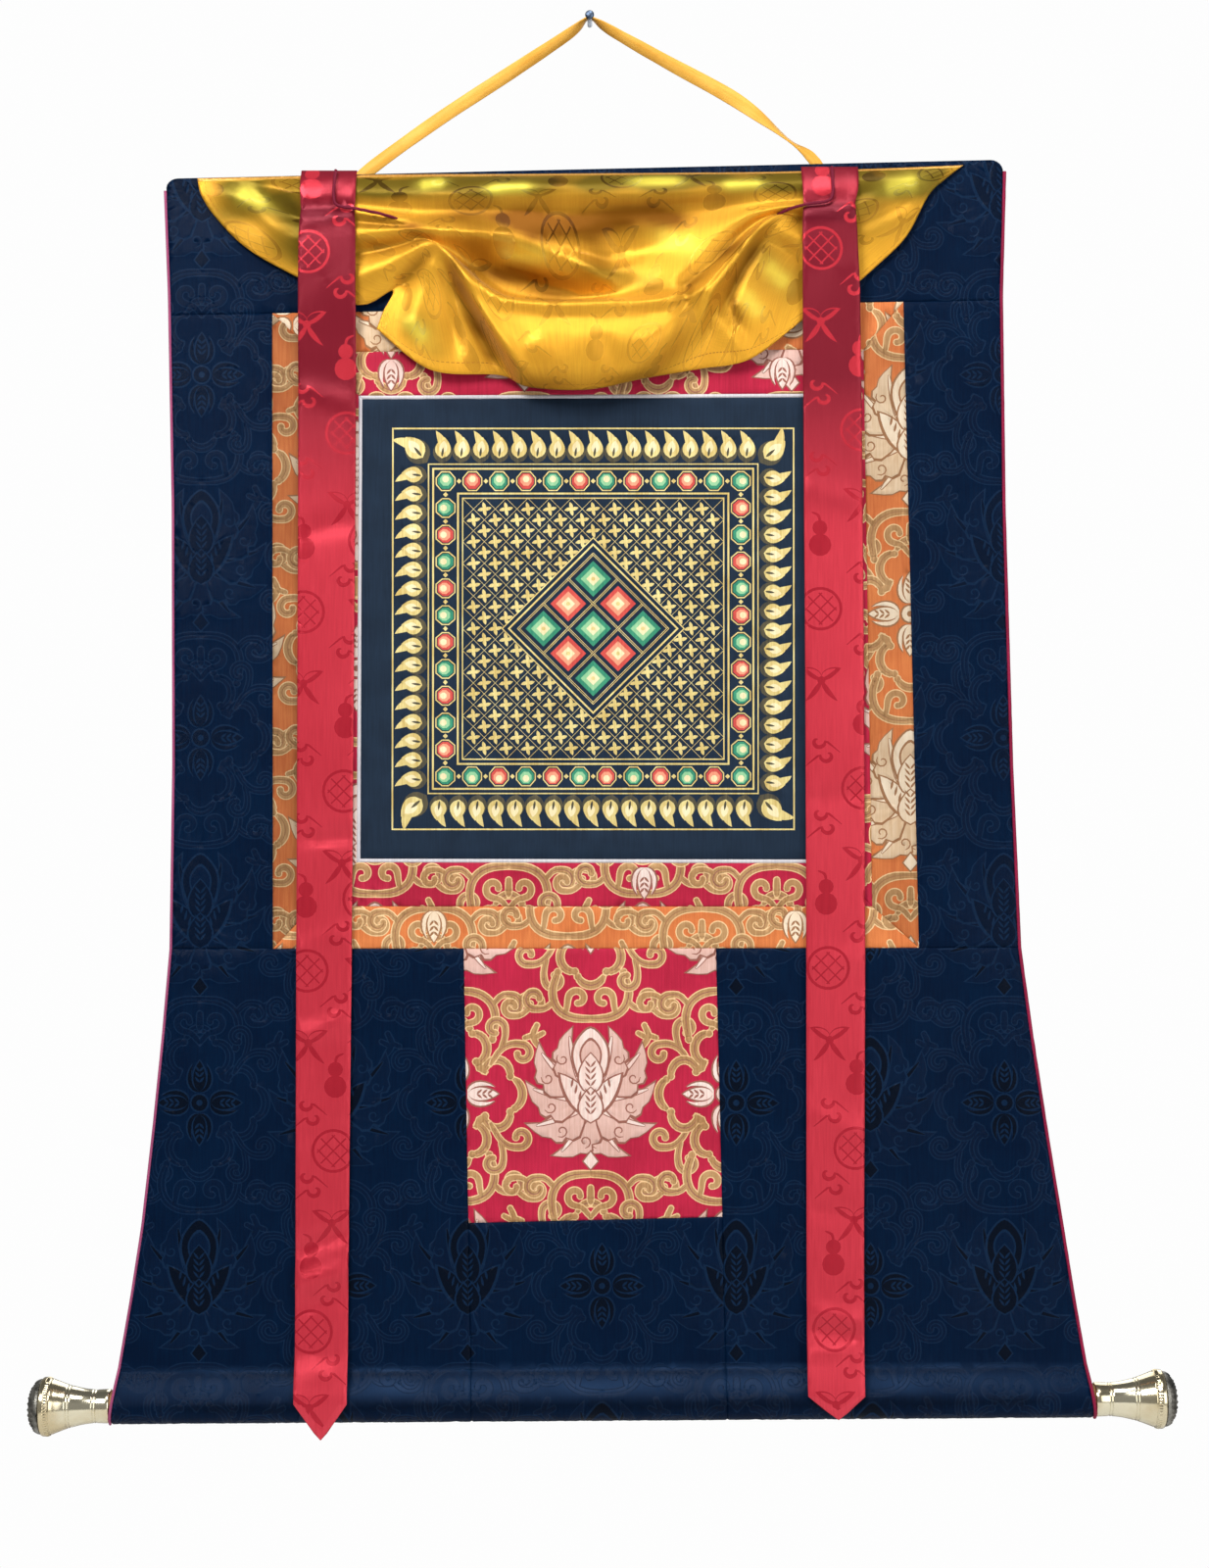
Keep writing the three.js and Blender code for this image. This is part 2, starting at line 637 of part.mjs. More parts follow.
function addRod() {
  const { left, right, along } = rodLine();
  const length = left.distanceTo(right) + 2 * ROD.inSocket;
  const rod = add("rod", "wood", new THREE.CylinderGeometry(ROD.radius, ROD.radius, length, ROD.sides));
  rod.position.copy(left).add(right).multiplyScalar(0.5);
  rod.quaternion.setFromUnitVectors(new THREE.Vector3(0, 1, 0), along);
}

function addKnob(side) {
  const { left, right, along } = rodLine();
  const outward = side === "left" ? along.clone().negate() : along;
  const pieces = [
    add(`knob_${side}`, "brass", turned(KNOB, KNOB_SIDES)),
    add(`knob_cap_${side}`, "silver", turned(KNOB_CAP, KNOB_SIDES)),
  ];
  for (const piece of pieces) {
    piece.position.copy(side === "left" ? left : right);
    piece.quaternion.setFromUnitVectors(new THREE.Vector3(0, 1, 0), outward);
  }
}

function addNail() {
  const nail = add("nail", "steel", turned(NAIL, NAIL_SIDES));
  nail.rotation.x = Math.PI;
}

addTextiles();
addRod();
addKnob("left");
addKnob("right");
addNail();

export default group;
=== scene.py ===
# A thangka scroll painting: painted canvas, brocade borders, silk veil and streamers, and a knobbed rod.
# Tables are in millimetres, as in the solids. A depth is a distance in front of the plane Y = 0.
import json
import math
import bpy
from mathutils import Matrix, Vector, kdtree, noise
from mathutils.geometry import delaunay_2d_cdt
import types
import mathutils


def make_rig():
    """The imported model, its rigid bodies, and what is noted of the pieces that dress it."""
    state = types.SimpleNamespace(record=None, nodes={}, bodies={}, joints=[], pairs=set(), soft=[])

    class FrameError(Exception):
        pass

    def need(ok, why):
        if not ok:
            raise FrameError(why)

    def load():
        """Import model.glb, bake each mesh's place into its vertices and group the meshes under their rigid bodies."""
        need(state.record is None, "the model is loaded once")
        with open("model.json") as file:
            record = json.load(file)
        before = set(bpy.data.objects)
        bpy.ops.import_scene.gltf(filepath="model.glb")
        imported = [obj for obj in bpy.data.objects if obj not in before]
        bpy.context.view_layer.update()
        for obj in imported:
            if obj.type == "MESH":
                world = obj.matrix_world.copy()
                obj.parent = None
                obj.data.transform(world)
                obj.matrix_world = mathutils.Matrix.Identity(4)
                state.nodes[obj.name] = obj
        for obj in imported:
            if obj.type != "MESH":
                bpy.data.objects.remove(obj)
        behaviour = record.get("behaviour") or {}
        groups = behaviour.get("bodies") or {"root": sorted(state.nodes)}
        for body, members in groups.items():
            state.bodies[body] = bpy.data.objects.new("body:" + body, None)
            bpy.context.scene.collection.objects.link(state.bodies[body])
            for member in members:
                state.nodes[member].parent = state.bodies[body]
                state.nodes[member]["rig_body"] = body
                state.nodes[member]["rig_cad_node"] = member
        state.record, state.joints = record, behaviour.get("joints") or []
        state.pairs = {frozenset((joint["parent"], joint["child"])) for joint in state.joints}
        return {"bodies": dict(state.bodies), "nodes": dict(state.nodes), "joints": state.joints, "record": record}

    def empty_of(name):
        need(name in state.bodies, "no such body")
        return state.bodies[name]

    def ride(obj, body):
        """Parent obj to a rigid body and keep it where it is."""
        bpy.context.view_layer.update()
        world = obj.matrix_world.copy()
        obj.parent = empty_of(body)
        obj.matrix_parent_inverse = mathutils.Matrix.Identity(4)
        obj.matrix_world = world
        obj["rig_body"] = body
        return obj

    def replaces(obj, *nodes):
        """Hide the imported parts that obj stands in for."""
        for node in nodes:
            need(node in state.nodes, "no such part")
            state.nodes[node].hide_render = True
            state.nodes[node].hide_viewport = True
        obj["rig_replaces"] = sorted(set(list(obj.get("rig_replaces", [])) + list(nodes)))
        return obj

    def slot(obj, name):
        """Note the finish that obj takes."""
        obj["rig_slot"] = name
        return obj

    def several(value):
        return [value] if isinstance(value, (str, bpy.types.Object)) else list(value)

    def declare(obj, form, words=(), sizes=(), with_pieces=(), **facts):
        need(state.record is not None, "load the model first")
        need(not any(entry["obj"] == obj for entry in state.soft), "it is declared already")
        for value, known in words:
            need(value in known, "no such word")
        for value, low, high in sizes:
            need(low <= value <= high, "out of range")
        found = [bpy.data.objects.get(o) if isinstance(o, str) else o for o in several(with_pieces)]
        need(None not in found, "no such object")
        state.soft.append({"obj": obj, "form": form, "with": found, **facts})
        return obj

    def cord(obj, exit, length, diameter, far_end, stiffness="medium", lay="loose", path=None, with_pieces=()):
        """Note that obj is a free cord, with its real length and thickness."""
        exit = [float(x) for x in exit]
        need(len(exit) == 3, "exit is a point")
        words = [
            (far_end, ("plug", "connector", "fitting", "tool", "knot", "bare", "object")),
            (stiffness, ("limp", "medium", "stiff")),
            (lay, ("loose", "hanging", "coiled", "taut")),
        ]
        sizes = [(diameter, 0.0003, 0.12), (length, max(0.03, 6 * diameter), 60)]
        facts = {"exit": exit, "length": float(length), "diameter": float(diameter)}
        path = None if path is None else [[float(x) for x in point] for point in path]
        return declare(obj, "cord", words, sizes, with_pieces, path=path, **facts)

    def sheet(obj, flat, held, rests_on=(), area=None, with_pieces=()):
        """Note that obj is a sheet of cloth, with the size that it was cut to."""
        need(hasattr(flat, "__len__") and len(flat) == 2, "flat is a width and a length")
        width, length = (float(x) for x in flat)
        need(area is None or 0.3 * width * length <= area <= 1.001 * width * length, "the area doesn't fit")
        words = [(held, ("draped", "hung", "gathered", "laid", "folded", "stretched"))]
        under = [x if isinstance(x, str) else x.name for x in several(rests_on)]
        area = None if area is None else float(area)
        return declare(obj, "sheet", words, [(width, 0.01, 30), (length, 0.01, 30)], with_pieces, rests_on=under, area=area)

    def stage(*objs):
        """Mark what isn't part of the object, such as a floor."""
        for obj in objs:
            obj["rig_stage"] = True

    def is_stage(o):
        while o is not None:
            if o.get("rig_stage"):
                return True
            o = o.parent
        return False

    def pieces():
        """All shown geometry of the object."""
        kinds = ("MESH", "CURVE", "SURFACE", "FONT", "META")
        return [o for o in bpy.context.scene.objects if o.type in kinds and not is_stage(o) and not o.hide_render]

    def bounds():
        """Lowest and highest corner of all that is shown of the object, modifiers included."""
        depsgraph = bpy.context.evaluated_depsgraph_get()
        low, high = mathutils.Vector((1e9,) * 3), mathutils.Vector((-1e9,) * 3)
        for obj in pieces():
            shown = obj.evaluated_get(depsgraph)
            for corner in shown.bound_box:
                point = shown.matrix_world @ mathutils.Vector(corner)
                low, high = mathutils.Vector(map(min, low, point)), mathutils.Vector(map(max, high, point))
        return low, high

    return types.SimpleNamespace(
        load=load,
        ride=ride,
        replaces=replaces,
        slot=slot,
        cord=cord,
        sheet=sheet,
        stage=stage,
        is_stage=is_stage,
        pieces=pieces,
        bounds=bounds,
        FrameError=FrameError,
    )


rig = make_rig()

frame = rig.load()
CAD_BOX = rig.bounds()
MM = 0.001
BODY = "root"


def table(columns, *lines):
    """Rows of values, each under the name of its column."""
    return [dict(zip(columns.split(), line)) for line in lines]


# The hanging sheet
CLOTH = 1.4
SILK = 1.2
TOP_Z = -92
TOP_DEPTH = 6
ROD_DEPTH = 19
WAVE = dict(height=1.0, length=92, phase=0.7)
HEM = dict(height=11, backing=2.4, corner=8)
ROD_ENDS = dict(left_x=-309, left_z=-889.6, right_x=325.5, right_z=-885.2)
SLEEVE = dict(radius=10.6, stitch_above=21.8, open_end=3)
STITCHING = dict(dent=0.45, half_width=1.6)
SEAM = -0.1
EDGE_FRONT = 0.55
RIM = 1.3

EDGES = table(
    "z left right",
    (-92, -274.0, 267.0),
    (-176, -270.6, 264.6),
    (-313, -267.8, 266.0),
    (-479, -267.0, 270.4),
    (-597, -268.4, 275.3),
    (-651, -273.0, 282.6),
    (-710, -278.8, 291.5),
    (-775, -286.0, 302.0),
    (-821, -293.0, 309.3),
    (-871, -301.5, 318.0),
    (-905, -306.5, 323.5),
)
TOP_EDGE = table(
    "x z",
    (-274, -100.8),
    (-127, -94.5),
    (140, -93),
    (267, -88.2),
)

# Corners of the nested fields: top left, top right, bottom right, bottom left
ORANGE_OUTER = [(-204.8, -188), (202.2, -180.6), (211.4, -596.5), (-203.5, -597.2)]
RED_OUTER = [(-177.7, -213), (176.4, -211.4), (181.4, -570), (-177.7, -570)]
RED_INNER = [(-149, -241.2), (152, -240), (154.5, -542.3), (-149.8, -541.8)]
DOOR = [(-80.9, -597.2), (81, -596.8), (85, -768.6), (-77.7, -772.6)]
EDGING = 2.4

# Soft ridges and troughs of the hanging cloth. Each row: height, half width, then the points of its line.
CREASES = [
    (0.9, 13, (-262, -330), (-238, -560)),
    (1.3, 16, (-232, -600), (-262, -850)),
    (-1.2, 17, (-120, -620), (-132, -850)),
    (1.0, 15, (-40, -790), (-52, -866)),
    (-0.9, 14, (45, -785), (58, -866)),
    (1.2, 17, (120, -610), (138, -860)),
    (-1.3, 19, (228, -590), (262, -855)),
    (1.1, 13, (262, -620), (298, -850)),
    (-0.8, 15, (236, -200), (248, -560)),
    (0.8, 14, (-255, -125), (-215, -178)),
    (0.5, 38, (-140, -300), (-60, -520)),
    (-0.5, 34, (60, -270), (130, -520)),
    (0.8, 30, (-60, -640), (30, -740)),
]

# The veil as nine folds from its seam to its hem, each across nine stations
VEIL_FOLDS = dict(
    seam=dict(
        x=[-253, -181, -111, -52, 2, 59, 118, 178, 241],
        z=[-101, -99.4, -98.4, -98.2, -97.8, -97.4, -96.8, -95, -92.5],
        out=[0.4, 0.4, 0.4, 0.4, 0.4, 0.4, 0.4, 0.4, 0.4],
    ),
    top_roll=dict(
        x=[-250, -179, -112, -52, 2, 59, 118, 176, 229],
        z=[-113, -111, -111, -109, -108.5, -108, -106.5, -104.5, -102],
        out=[2, 6.5, 9, 11, 11, 11, 9, 6.5, 2],
    ),
    crease=dict(
        x=[-239, -175, -112, -52, 2, 59, 118, 173, 218],
        z=[-129, -122, -124, -121, -123.5, -122, -117, -115, -113],
        out=[2.5, 3.5, 7, 6, 6, 6, 7, 3.5, 2.5],
    ),
    rim=dict(
        x=[-219, -162, -108, -50, 4, 57, 117, 164, 204],
        z=[-148, -136, -136, -145, -160, -145, -123.5, -125, -139],
        out=[3, 8, 14, 14, 13, 9.5, 12, 8, 3],
    ),
    pocket=dict(
        x=[-187, -141, -104, -53, 3, 55, 116, 150, 185],
        z=[-166, -149, -142.5, -174.5, -179, -167, -127.5, -134, -158],
        out=[3, 4, 9, 2.5, 5, 15, 8, 4, 3],
    ),
    lip=dict(
        x=[-149, -122, -98, -57, 2.5, 54, 114, 134, 163],
        z=[-183.5, -162, -148, -182, -185.5, -184, -132, -142, -177],
        out=[3, 8, 15, 22, 24, 22, 14, 8, 3],
    ),
    belly=dict(
        x=[-127, -108, -86, -52, 1, 46.5, 94.5, 120, 153],
        z=[-174, -169, -170, -205, -208, -205, -152.5, -152.5, -183],
        out=[3, 6, 15, 26, 29, 26, 15, 6, 3],
    ),
    under=dict(
        x=[-133, -105, -72, -45, 0, 41.5, 84, 109, 145],
        z=[-188, -196.5, -198.5, -223.5, -227, -223, -186, -188, -188.5],
        out=[4, 7, 9, 24, 26, 21, 10, 8, 4],
    ),
    hem=dict(
        x=[-137, -102, -58, -39, -1, 36.5, 71, 103, 136],
        z=[-199, -226, -229, -238, -240, -232, -225, -219, -194],
        out=[4, 8, 5, 14, 16, 12, 5, 7, 4],
    ),
)
VEIL_FLAT = dict(width=460, length=160)
VEIL_PITCH = 2.4
VEIL_STEADY = dict(seam=14, hem=9, ends=16)
VEIL_CLEAR = 0.3
VEIL_CREASES = [
    (2.6, 4, (-200, -116), (-149, -124), (-106, -133)),
    (-2.6, 3.4, (-200, -126), (-149, -131), (-104, -136)),
    (2.6, 4, (-190, -142), (-149, -141), (-102, -139)),
    (-2.8, 3.6, (-176, -156), (-147, -149), (-100, -142)),
    (2.6, 6, (-160, -170), (-130, -157), (-100, -145)),
    (-3.4, 4.5, (-98, -147), (-112, -160), (-126, -174)),
    (3.2, 8, (-96, -149), (-108, -178), (-116, -208)),
    (-3.6, 6, (-92, -152), (-90, -190), (-84, -224)),
    (4.0, 5, (-97, -143), (-82, -169), (-60, -205), (-36, -237)),
    (-4.2, 4.5, (-92, -160), (-77, -190), (-62, -219), (-50, -234)),
    (6.2, 5.2, (-98, -138), (-53, -143), (-10, -155), (19, -174)),
    (-6.0, 7, (-84, -152), (-50, -165), (4, -180)),
    (4.0, 4, (-96, -146), (-76, -171), (-57, -184), (-24, -188), (17, -186), (50, -184), (79, -176),
     (95, -160)),
    (-2.4, 6, (-40, -194), (10, -197), (55, -193)),
    (1.6, 9, (-36, -206), (-18, -228)),
    (-1.4, 7, (8, -206), (20, -230)),
    (1.6, 8, (36, -204), (40, -226)),
    (5.5, 4, (120, -126), (105, -142), (88, -164), (77, -180), (70, -204)),
    (-5.0, 5.5, (108, -132), (88, -150), (62, -173), (58, -200)),
    (-3.4, 4.5, (116, -134), (98, -162), (86, -188), (104, -207)),
    (2.8, 5, (78, -184), (90, -204), (98, -216)),
    (2.4, 5, (114, -136), (136, -143), (150, -152)),
    (-2.4, 4, (112, -140), (132, -152), (150, -166)),
    (2.0, 5, (120, -126), (150, -121), (190, -116)),
    (-2.0, 4, (122, -130), (150, -130), (180, -132)),
    (2.2, 7, (-244, -106), (-215, -122), (-190, -141)),
    (-2.0, 5, (-226, -106), (-205, -116), (-184, -129)),
    (1.8, 5, (-214, -104), (-184, -113)),
    (2.0, 6, (172, -119), (196, -110), (222, -103)),
    (-1.8, 5, (172, -132), (190, -124), (208, -116)),
    (3.4, 4.5, (-110, -116), (-50, -117), (50, -116), (108, -112)),
    (-6.5, 10, (-74, -147), (-24, -151), (10, -152), (56, -146)),
    (-3.0, 12, (14, -130), (22, -162)),
    (0.8, 7, (-90, -104), (-30, -102)),
    (-0.8, 6, (-20, -104), (40, -106)),
    (0.9, 6, (50, -102), (110, -101)),
]
# Olive sheen painted where the satin turns up to the light: strength, half width, then the points of its line
VEIL_PAINTED_SHEEN = [
    (1.5, 9, (-240, -108), (-110, -108), (0, -106), (110, -104), (236, -98)),
    (1.0, 26, (-250, -104), (-150, -158)),
    (0.9, 26, (145, -120), (240, -96)),
    (0.6, 16, (100, -150), (140, -180)),
    (0.45, 12, (-124, -185), (-90, -218)),
    (0.6, 7, (-22, -160), (50, -172)),
]
# Brown shade painted in the hollows of the folds, in the pocket and along the valleys: strength, half width, then the
# points of its line
VEIL_PAINTED_SHADE = [
    (1.3, 10, (-112, -127), (-40, -130), (30, -129), (100, -120)),
    (0.8, 10, (-50, -137), (0, -146), (14, -160)),
    (1.0, 10, (-86, -150), (-50, -164), (0, -180)),
    (0.9, 4.5, (-90, -158), (-77, -190), (-56, -230)),
    (0.8, 5, (106, -134), (64, -172), (60, -196)),
    (0.7, 4, (112, -140), (90, -176), (100, -206)),
    (0.7, 4, (-150, -131), (-104, -136)),
    (0.6, 4, (-147, -149), (-102, -142)),
    (0.7, 4, (-100, -149), (-124, -172)),
    (0.55, 6, (-60, -236), (0, -240), (60, -231)),
]
# Highlights painted on the crests of the folds: strength, half width, then the points of its line
VEIL_PAINTED_HIGHLIGHT = [
    (1.0, 3.6, (-110, -107), (-92, -105)),
    (0.9, 3.6, (-66, -111), (-36, -109)),
    (0.9, 3.2, (22, -105), (62, -104)),
    (1.0, 3.6, (84, -108), (112, -106)),
    (0.7, 5, (-120, -192), (-104, -208)),
    (0.7, 5, (112, -158), (128, -172)),
    (0.6, 5, (98, -176), (110, -192)),
    (0.6, 6, (-228, -110), (-206, -120)),
    (0.6, 6, (188, -109), (212, -104)),
    (0.6, 4, (-60, -148), (-24, -154)),
    (0.5, 6, (40, -140), (70, -150)),
]

STRAP_TIP = 2
STRAP_CLEAR = 0.35
STRAP_PITCH = 4
STRAP_STEADY = dict(from_z=-100, fade=8)
STRAP_LEFT = table(
    "z x width out",
    (-96, -167.9, 35.9, 0.4),
    (-104, -167.9, 35.9, 7.6),
    (-113, -167.8, 35.6, 10.5),
    (-123, -167.8, 34.5, 11.0),
    (-140, -168, 36.5, 13.0),
    (-172, -168.3, 36.8, 11.5),
    (-215, -168.6, 37.2, 6.0),
    (-240, -168.8, 37.2, 3.4),
    (-400, -169.4, 36.5, 3.0),
    (-600, -170.2, 35.6, 3.0),
    (-780, -171, 34, 3.0),
    (-855, -171.2, 33.8, 4.5),
    (-874, -171.2, 34, 10.5),
    (-885, -171, 33.8, 13.4),
    (-908, -170.7, STRAP_TIP, 13.0),
)
STRAP_RIGHT = table(
    "z x width out",
    (-94, 154.4, 36.5, 2.2),
    (-102, 154.4, 36.5, 7.6),
    (-111, 154.2, 35.5, 11.5),
    (-119, 153.4, 33.2, 12.8),
    (-136, 153.6, 35, 13.6),
    (-172, 154.6, 36.6, 11.5),
    (-215, 155.4, 37.4, 6.0),
    (-240, 156, 37.6, 3.4),
    (-400, 157, 37.8, 3.0),
    (-600, 157.5, 37.8, 3.0),
    (-780, 157, 36.8, 3.2),
    (-850, 157, 36.6, 5.0),
    (-868, 156.8, 36.4, 10.5),
    (-880, 156.9, 36.2, 13.4),
    (-895, 158.1, STRAP_TIP, 13.2),
)
STRAP_CREASES = [
    (-2.2, 3.2, (-190, -122), (-146, -120)),
    (1.6, 4, (-190, -131), (-146, -127)),
    (-1.2, 4, (-158, -98), (-159, -118)),
    (1.4, 6, (-188, -236), (-149, -248)),
    (-1.2, 7, (-186, -330), (-150, -322)),
    (-1.5, 4, (-188, -528), (-150, -524)),
    (1.3, 9, (-190, -600), (-152, -585)),
    (1.8, 7, (-190, -655), (-152, -640)),
    (-2.4, 6, (-190, -792), (-152, -776)),
    (2.6, 6, (-190, -812), (-152, -800)),
    (-1.6, 6, (-190, -828), (-152, -820)),
    (0.7, 8, (-180, -862), (-160, -868)),
    (-2.4, 3.2, (134, -119), (174, -117)),
    (1.8, 4, (134, -127), (174, -123)),
    (-1.2, 4, (166, -96), (165, -116)),
    (1.4, 7, (136, -300), (178, -312)),
    (-1.4, 6, (138, -505), (177, -495)),
    (1.5, 8, (138, -610), (177, -600)),
    (1.8, 8, (138, -700), (177, -716)),
    (-1.4, 7, (138, -762), (177, -770)),
    (2.2, 5, (138, -826), (176, -834)),
    (-2.4, 4, (138, -840), (176, -846)),
    (1.8, 3.5, (138, -854), (176, -852)),
]

TAPE = table(
    "x z depth width turn",
    (-152, -107, 1.6, 8.5, 0),
    (-145, -96, 1.6, 8.5, 0),
    (-100, -63.5, 3, 8.8, 0),
    (-52, -33, 6, 8.6, 18),
    (-14, -8.4, 8, 7.6, 40),
    (-2.3, 1.5, 8, 7, 90),
    (0, 2.8, 8, 7, 90),
    (2.3, 1.5, 8, 7, 90),
    (15, -6.6, 8, 7.6, 44),
    (50, -26, 7, 8.6, 25),
    (95, -50.5, 5.5, 9.6, 0),
    (128, -75.5, 5, 8.4, -68),
    (142, -85, 2.2, 7.6, -20),
    (149, -94, 1.6, 8, 0),
    (156, -105, 1.6, 8, 0),
)
TIE_RADIUS = 1
TIE_TWIST = dict(strands=3, pitch=0.006, sides=12, depth=0.16, core=0.93)
TIE_LEFT = table(
    "x z out",
    (-163.2, -97, 6.2),
    (-163.4, -106, 12.0),
    (-163.6, -116, 13.6),
    (-161, -121.5, 14.0),
    (-148, -124, 14.6),
    (-130, -128, 14.6),
    (-111, -133, 5.5),
)
TIE_RIGHT = table(
    "x z out",
    (155.6, -95, 6.4),
    (155.6, -104, 12.2),
    (155.4, -114, 14.8),
    (152, -119, 15.6),
    (140, -121, 15.8),
    (128, -124, 15.0),
    (117, -128, 6.5),
)
BINDING = dict(left=0.9, right=1.1, clear=-0.25, upper_rows=90, foot_rows=60, off_fold=0.6, sides=10)

# Turned metal: radius against distance from the neck's end
KNOB = table(
    "at radius",
    (0, 10.7),
    (7, 10.5),
    (14, 11.2),
    (20, 12.5),
    (26, 14.2),
    (32, 16.4),
    (37.5, 18.4),
    (40, 18.5),
)
KNOB_SOCKET = dict(radius=9.8, depth=22)
KNOB_NECK = 2.7
KNOB_LIP = [(10.3, 0), (10.7, 0.4)]
KNOB_START = 0.3
KNOB_END = [(18.2, 40.6), (17.4, 41), (0, 41)]
KNOB_GROOVES = [6.2, 8.0, 22.6, 24.4, 35.0]
KNOB_GROOVE = dict(depth=0.55, half_width=0.38)
KNOB_STEPS = 160
KNOB_SIDES = 180
KNOB_TEETH = dict(start=35.6, end=37.6, count=60, height=0.35, wall=1)
CAP = table(
    "at radius",
    (0, 17.4),
    (2.3, 16.8),
    (5.1, 13.6),
    (7.3, 8),
    (8.2, 0),
)
CAP_START = 41.3
CAP_FOOT = dict(radius=17.2, height=0.2)
CAP_STEPS = 60
CAP_SIDES = 216
CAP_RINGS = [14.6, 6]
CAP_GROOVE = dict(depth=0.3, half_width=0.5)
CAP_DOTS = table(
    "radius count size",
    (15.8, 30, 0.8),
    (12.2, 22, 1.0),
    (8.6, 14, 1.2),
)
DOT = dict(height=0.8, round=2.4, above=0.1)
NAIL = [
    (0, 0), (1.6, 0), (1.6, 21.2), (1.9, 21.6), (2.8, 21.8), (2.9, 22.3), (2.7, 22.9), (2.0, 23.4), (0, 23.4),
]
NAIL_SIDES = 32


# Small sums
def mix(a, b, share):
    return a + (b - a) * share


def clamp(value):
    return min(max(value, 0.0), 1.0)


def through(values, share):
    """A smooth curve through evenly spaced values, at a share from 0 to 1 of its length."""
    last = len(values) - 1
    place = clamp(share) * last
    i = min(int(place), last - 1)
    t = place - i
    start = (values[i + 1] - values[max(i - 1, 0)]) / 2
    end = (values[min(i + 2, last)] - values[i]) / 2
    rise = values[i + 1] - values[i]
    return values[i] + start * t + (3 * rise - 2 * start - end) * t ** 2 + (start + end - 2 * rise) * t ** 3


def row_place(rows, by, value):
    """The place of a value in a table's sorted column, as a row number with its fraction."""
    rising = rows[1][by] > rows[0][by]
    i = 0
    while i < len(rows) - 2 and (value > rows[i + 1][by] if rising else value < rows[i + 1][by]):
        i += 1
    return i + (value - rows[i][by]) / (rows[i + 1][by] - rows[i][by])


def look_up(rows, by, name, value):
    place = row_place(rows, by, value)
    i = min(max(int(place), 0), len(rows) - 2)
    return mix(rows[i][name], rows[i + 1][name], place - i)


def column(rows, name, share):
    return through([row[name] for row in rows], share)


def line_at(a, b, value, by):
    """The other coordinate of the line through a and b where coordinate by has a value."""
    share = (value - a[by]) / (b[by] - a[by])
    return mix(a[1 - by], b[1 - by], share)


def area_of(points):
    pairs = zip(points, points[1:] + points[:1])
    return sum(a[0] * b[1] - b[0] * a[1] for a, b in pairs) / 2


def box_of(points):
    """The least and greatest values of both coordinates."""
    xs = [p[0] for p in points]
    zs = [p[1] for p in points]
    return min(xs), min(zs), max(xs), max(zs)


def length_of(path):
    return sum((b - a).length for a, b in zip(path, path[1:]))


def bell(value, middle, half_width):
    return math.exp(-((value - middle) / half_width) ** 2)


def inset(field, distance):
    """Each side of a four-cornered field moved inwards by the same distance."""
    corners = [Vector(p) for p in field]
    sides = []
    for i in range(4):
        along = (corners[(i + 1) % 4] - corners[i]).normalized()
        sides.append((corners[i] + Vector((along.y, -along.x)) * distance, along))
    inner = []
    for i in range(4):
        start_a, along_a = sides[i - 1]
        start_b, along_b = sides[i]
        reach = (start_b - start_a).cross(along_b) / along_a.cross(along_b)
        inner.append(tuple(start_a + along_a * reach))
    return inner


def nearest_on(line, x, z):
    """The distance from a point to a bent line, and the share of the line's length where it is nearest."""
    best = (1e9, 0.0)
    run = 0.0
    for (x0, z0), (x1, z1) in zip(line, line[1:]):
        length = math.dist((x0, z0), (x1, z1))
        share = clamp(((x - x0) * (x1 - x0) + (z - z0) * (z1 - z0)) / length ** 2)
        away = math.hypot(x - mix(x0, x1, share), z - mix(z0, z1, share))
        best = min(best, (away, run + share * length))
        run += length
    return best[0], best[1] / run


CREASE = dict(reach=2.6, end=0.2, fade=4)


def crease_height(rows, x, z):
    """The summed height of soft ridges and troughs, lower towards their ends."""
    total = 0.0
    for height, width, *line in rows:
        away, share = nearest_on(line, x, z)
        if away < CREASE["reach"] * width:
            near_end = min(share, 1 - share)
            fade = min(1.0, CREASE["end"] + CREASE["fade"] * near_end)
            total += height * fade * bell(away, 0, width)
    return total


# The hanging surface
def edge_x(side, z):
    return look_up(EDGES, "z", side, z)


def top_z(x):
    return look_up(TOP_EDGE, "x", "z", x)


def upper_seam(x):
    return line_at(ORANGE_OUTER[0], ORANGE_OUTER[1], x, 0)


def lower_seam(x):
    return line_at(ORANGE_OUTER[3], ORANGE_OUTER[2], x, 0)


def rod_z(x):
    share = (x - ROD_ENDS["left_x"]) / (ROD_ENDS["right_x"] - ROD_ENDS["left_x"])
    return mix(ROD_ENDS["left_z"], ROD_ENDS["right_z"], share)


def stitch_z(x):
    return rod_z(x) + SLEEVE["stitch_above"]


def cloth_depth(x, z):
    share = clamp((TOP_Z - z) / (TOP_Z - stitch_z(x)))
    wave = WAVE["height"] * math.sin(math.pi * share) * math.sin(x / WAVE["length"] + WAVE["phase"])
    return mix(TOP_DEPTH, ROD_DEPTH, share) + wave


def front_depth(x, z):
    return cloth_depth(x, z) + CLOTH / 2


def point(x, depth, z):
    return Vector((x, -depth, z)) * MM


def hung(x, z, front):
    """A point of the hanging cloth, with its small creases."""
    off = (front - 0.5) * CLOTH + crease_height(CREASES, x, z)
    return point(x, cloth_depth(x, z) + off, z)


def hung_head(x, z, front):
    hem = top_z(x) - z < HEM["height"]
    off = (front - 0.5) * CLOTH + crease_height(CREASES, x, z) - (1 - front) * HEM["backing"] * hem
    return point(x, cloth_depth(x, z) + off, z)


def sleeve_lengths():
    """The lean of the sleeve's flanks, their length, and the length of its arc."""
    lean = math.asin(SLEEVE["radius"] / SLEEVE["stitch_above"])
    flank = math.sqrt(SLEEVE["stitch_above"] ** 2 - SLEEVE["radius"] ** 2)
    return lean, flank, SLEEVE["radius"] * (math.pi + 2 * lean)


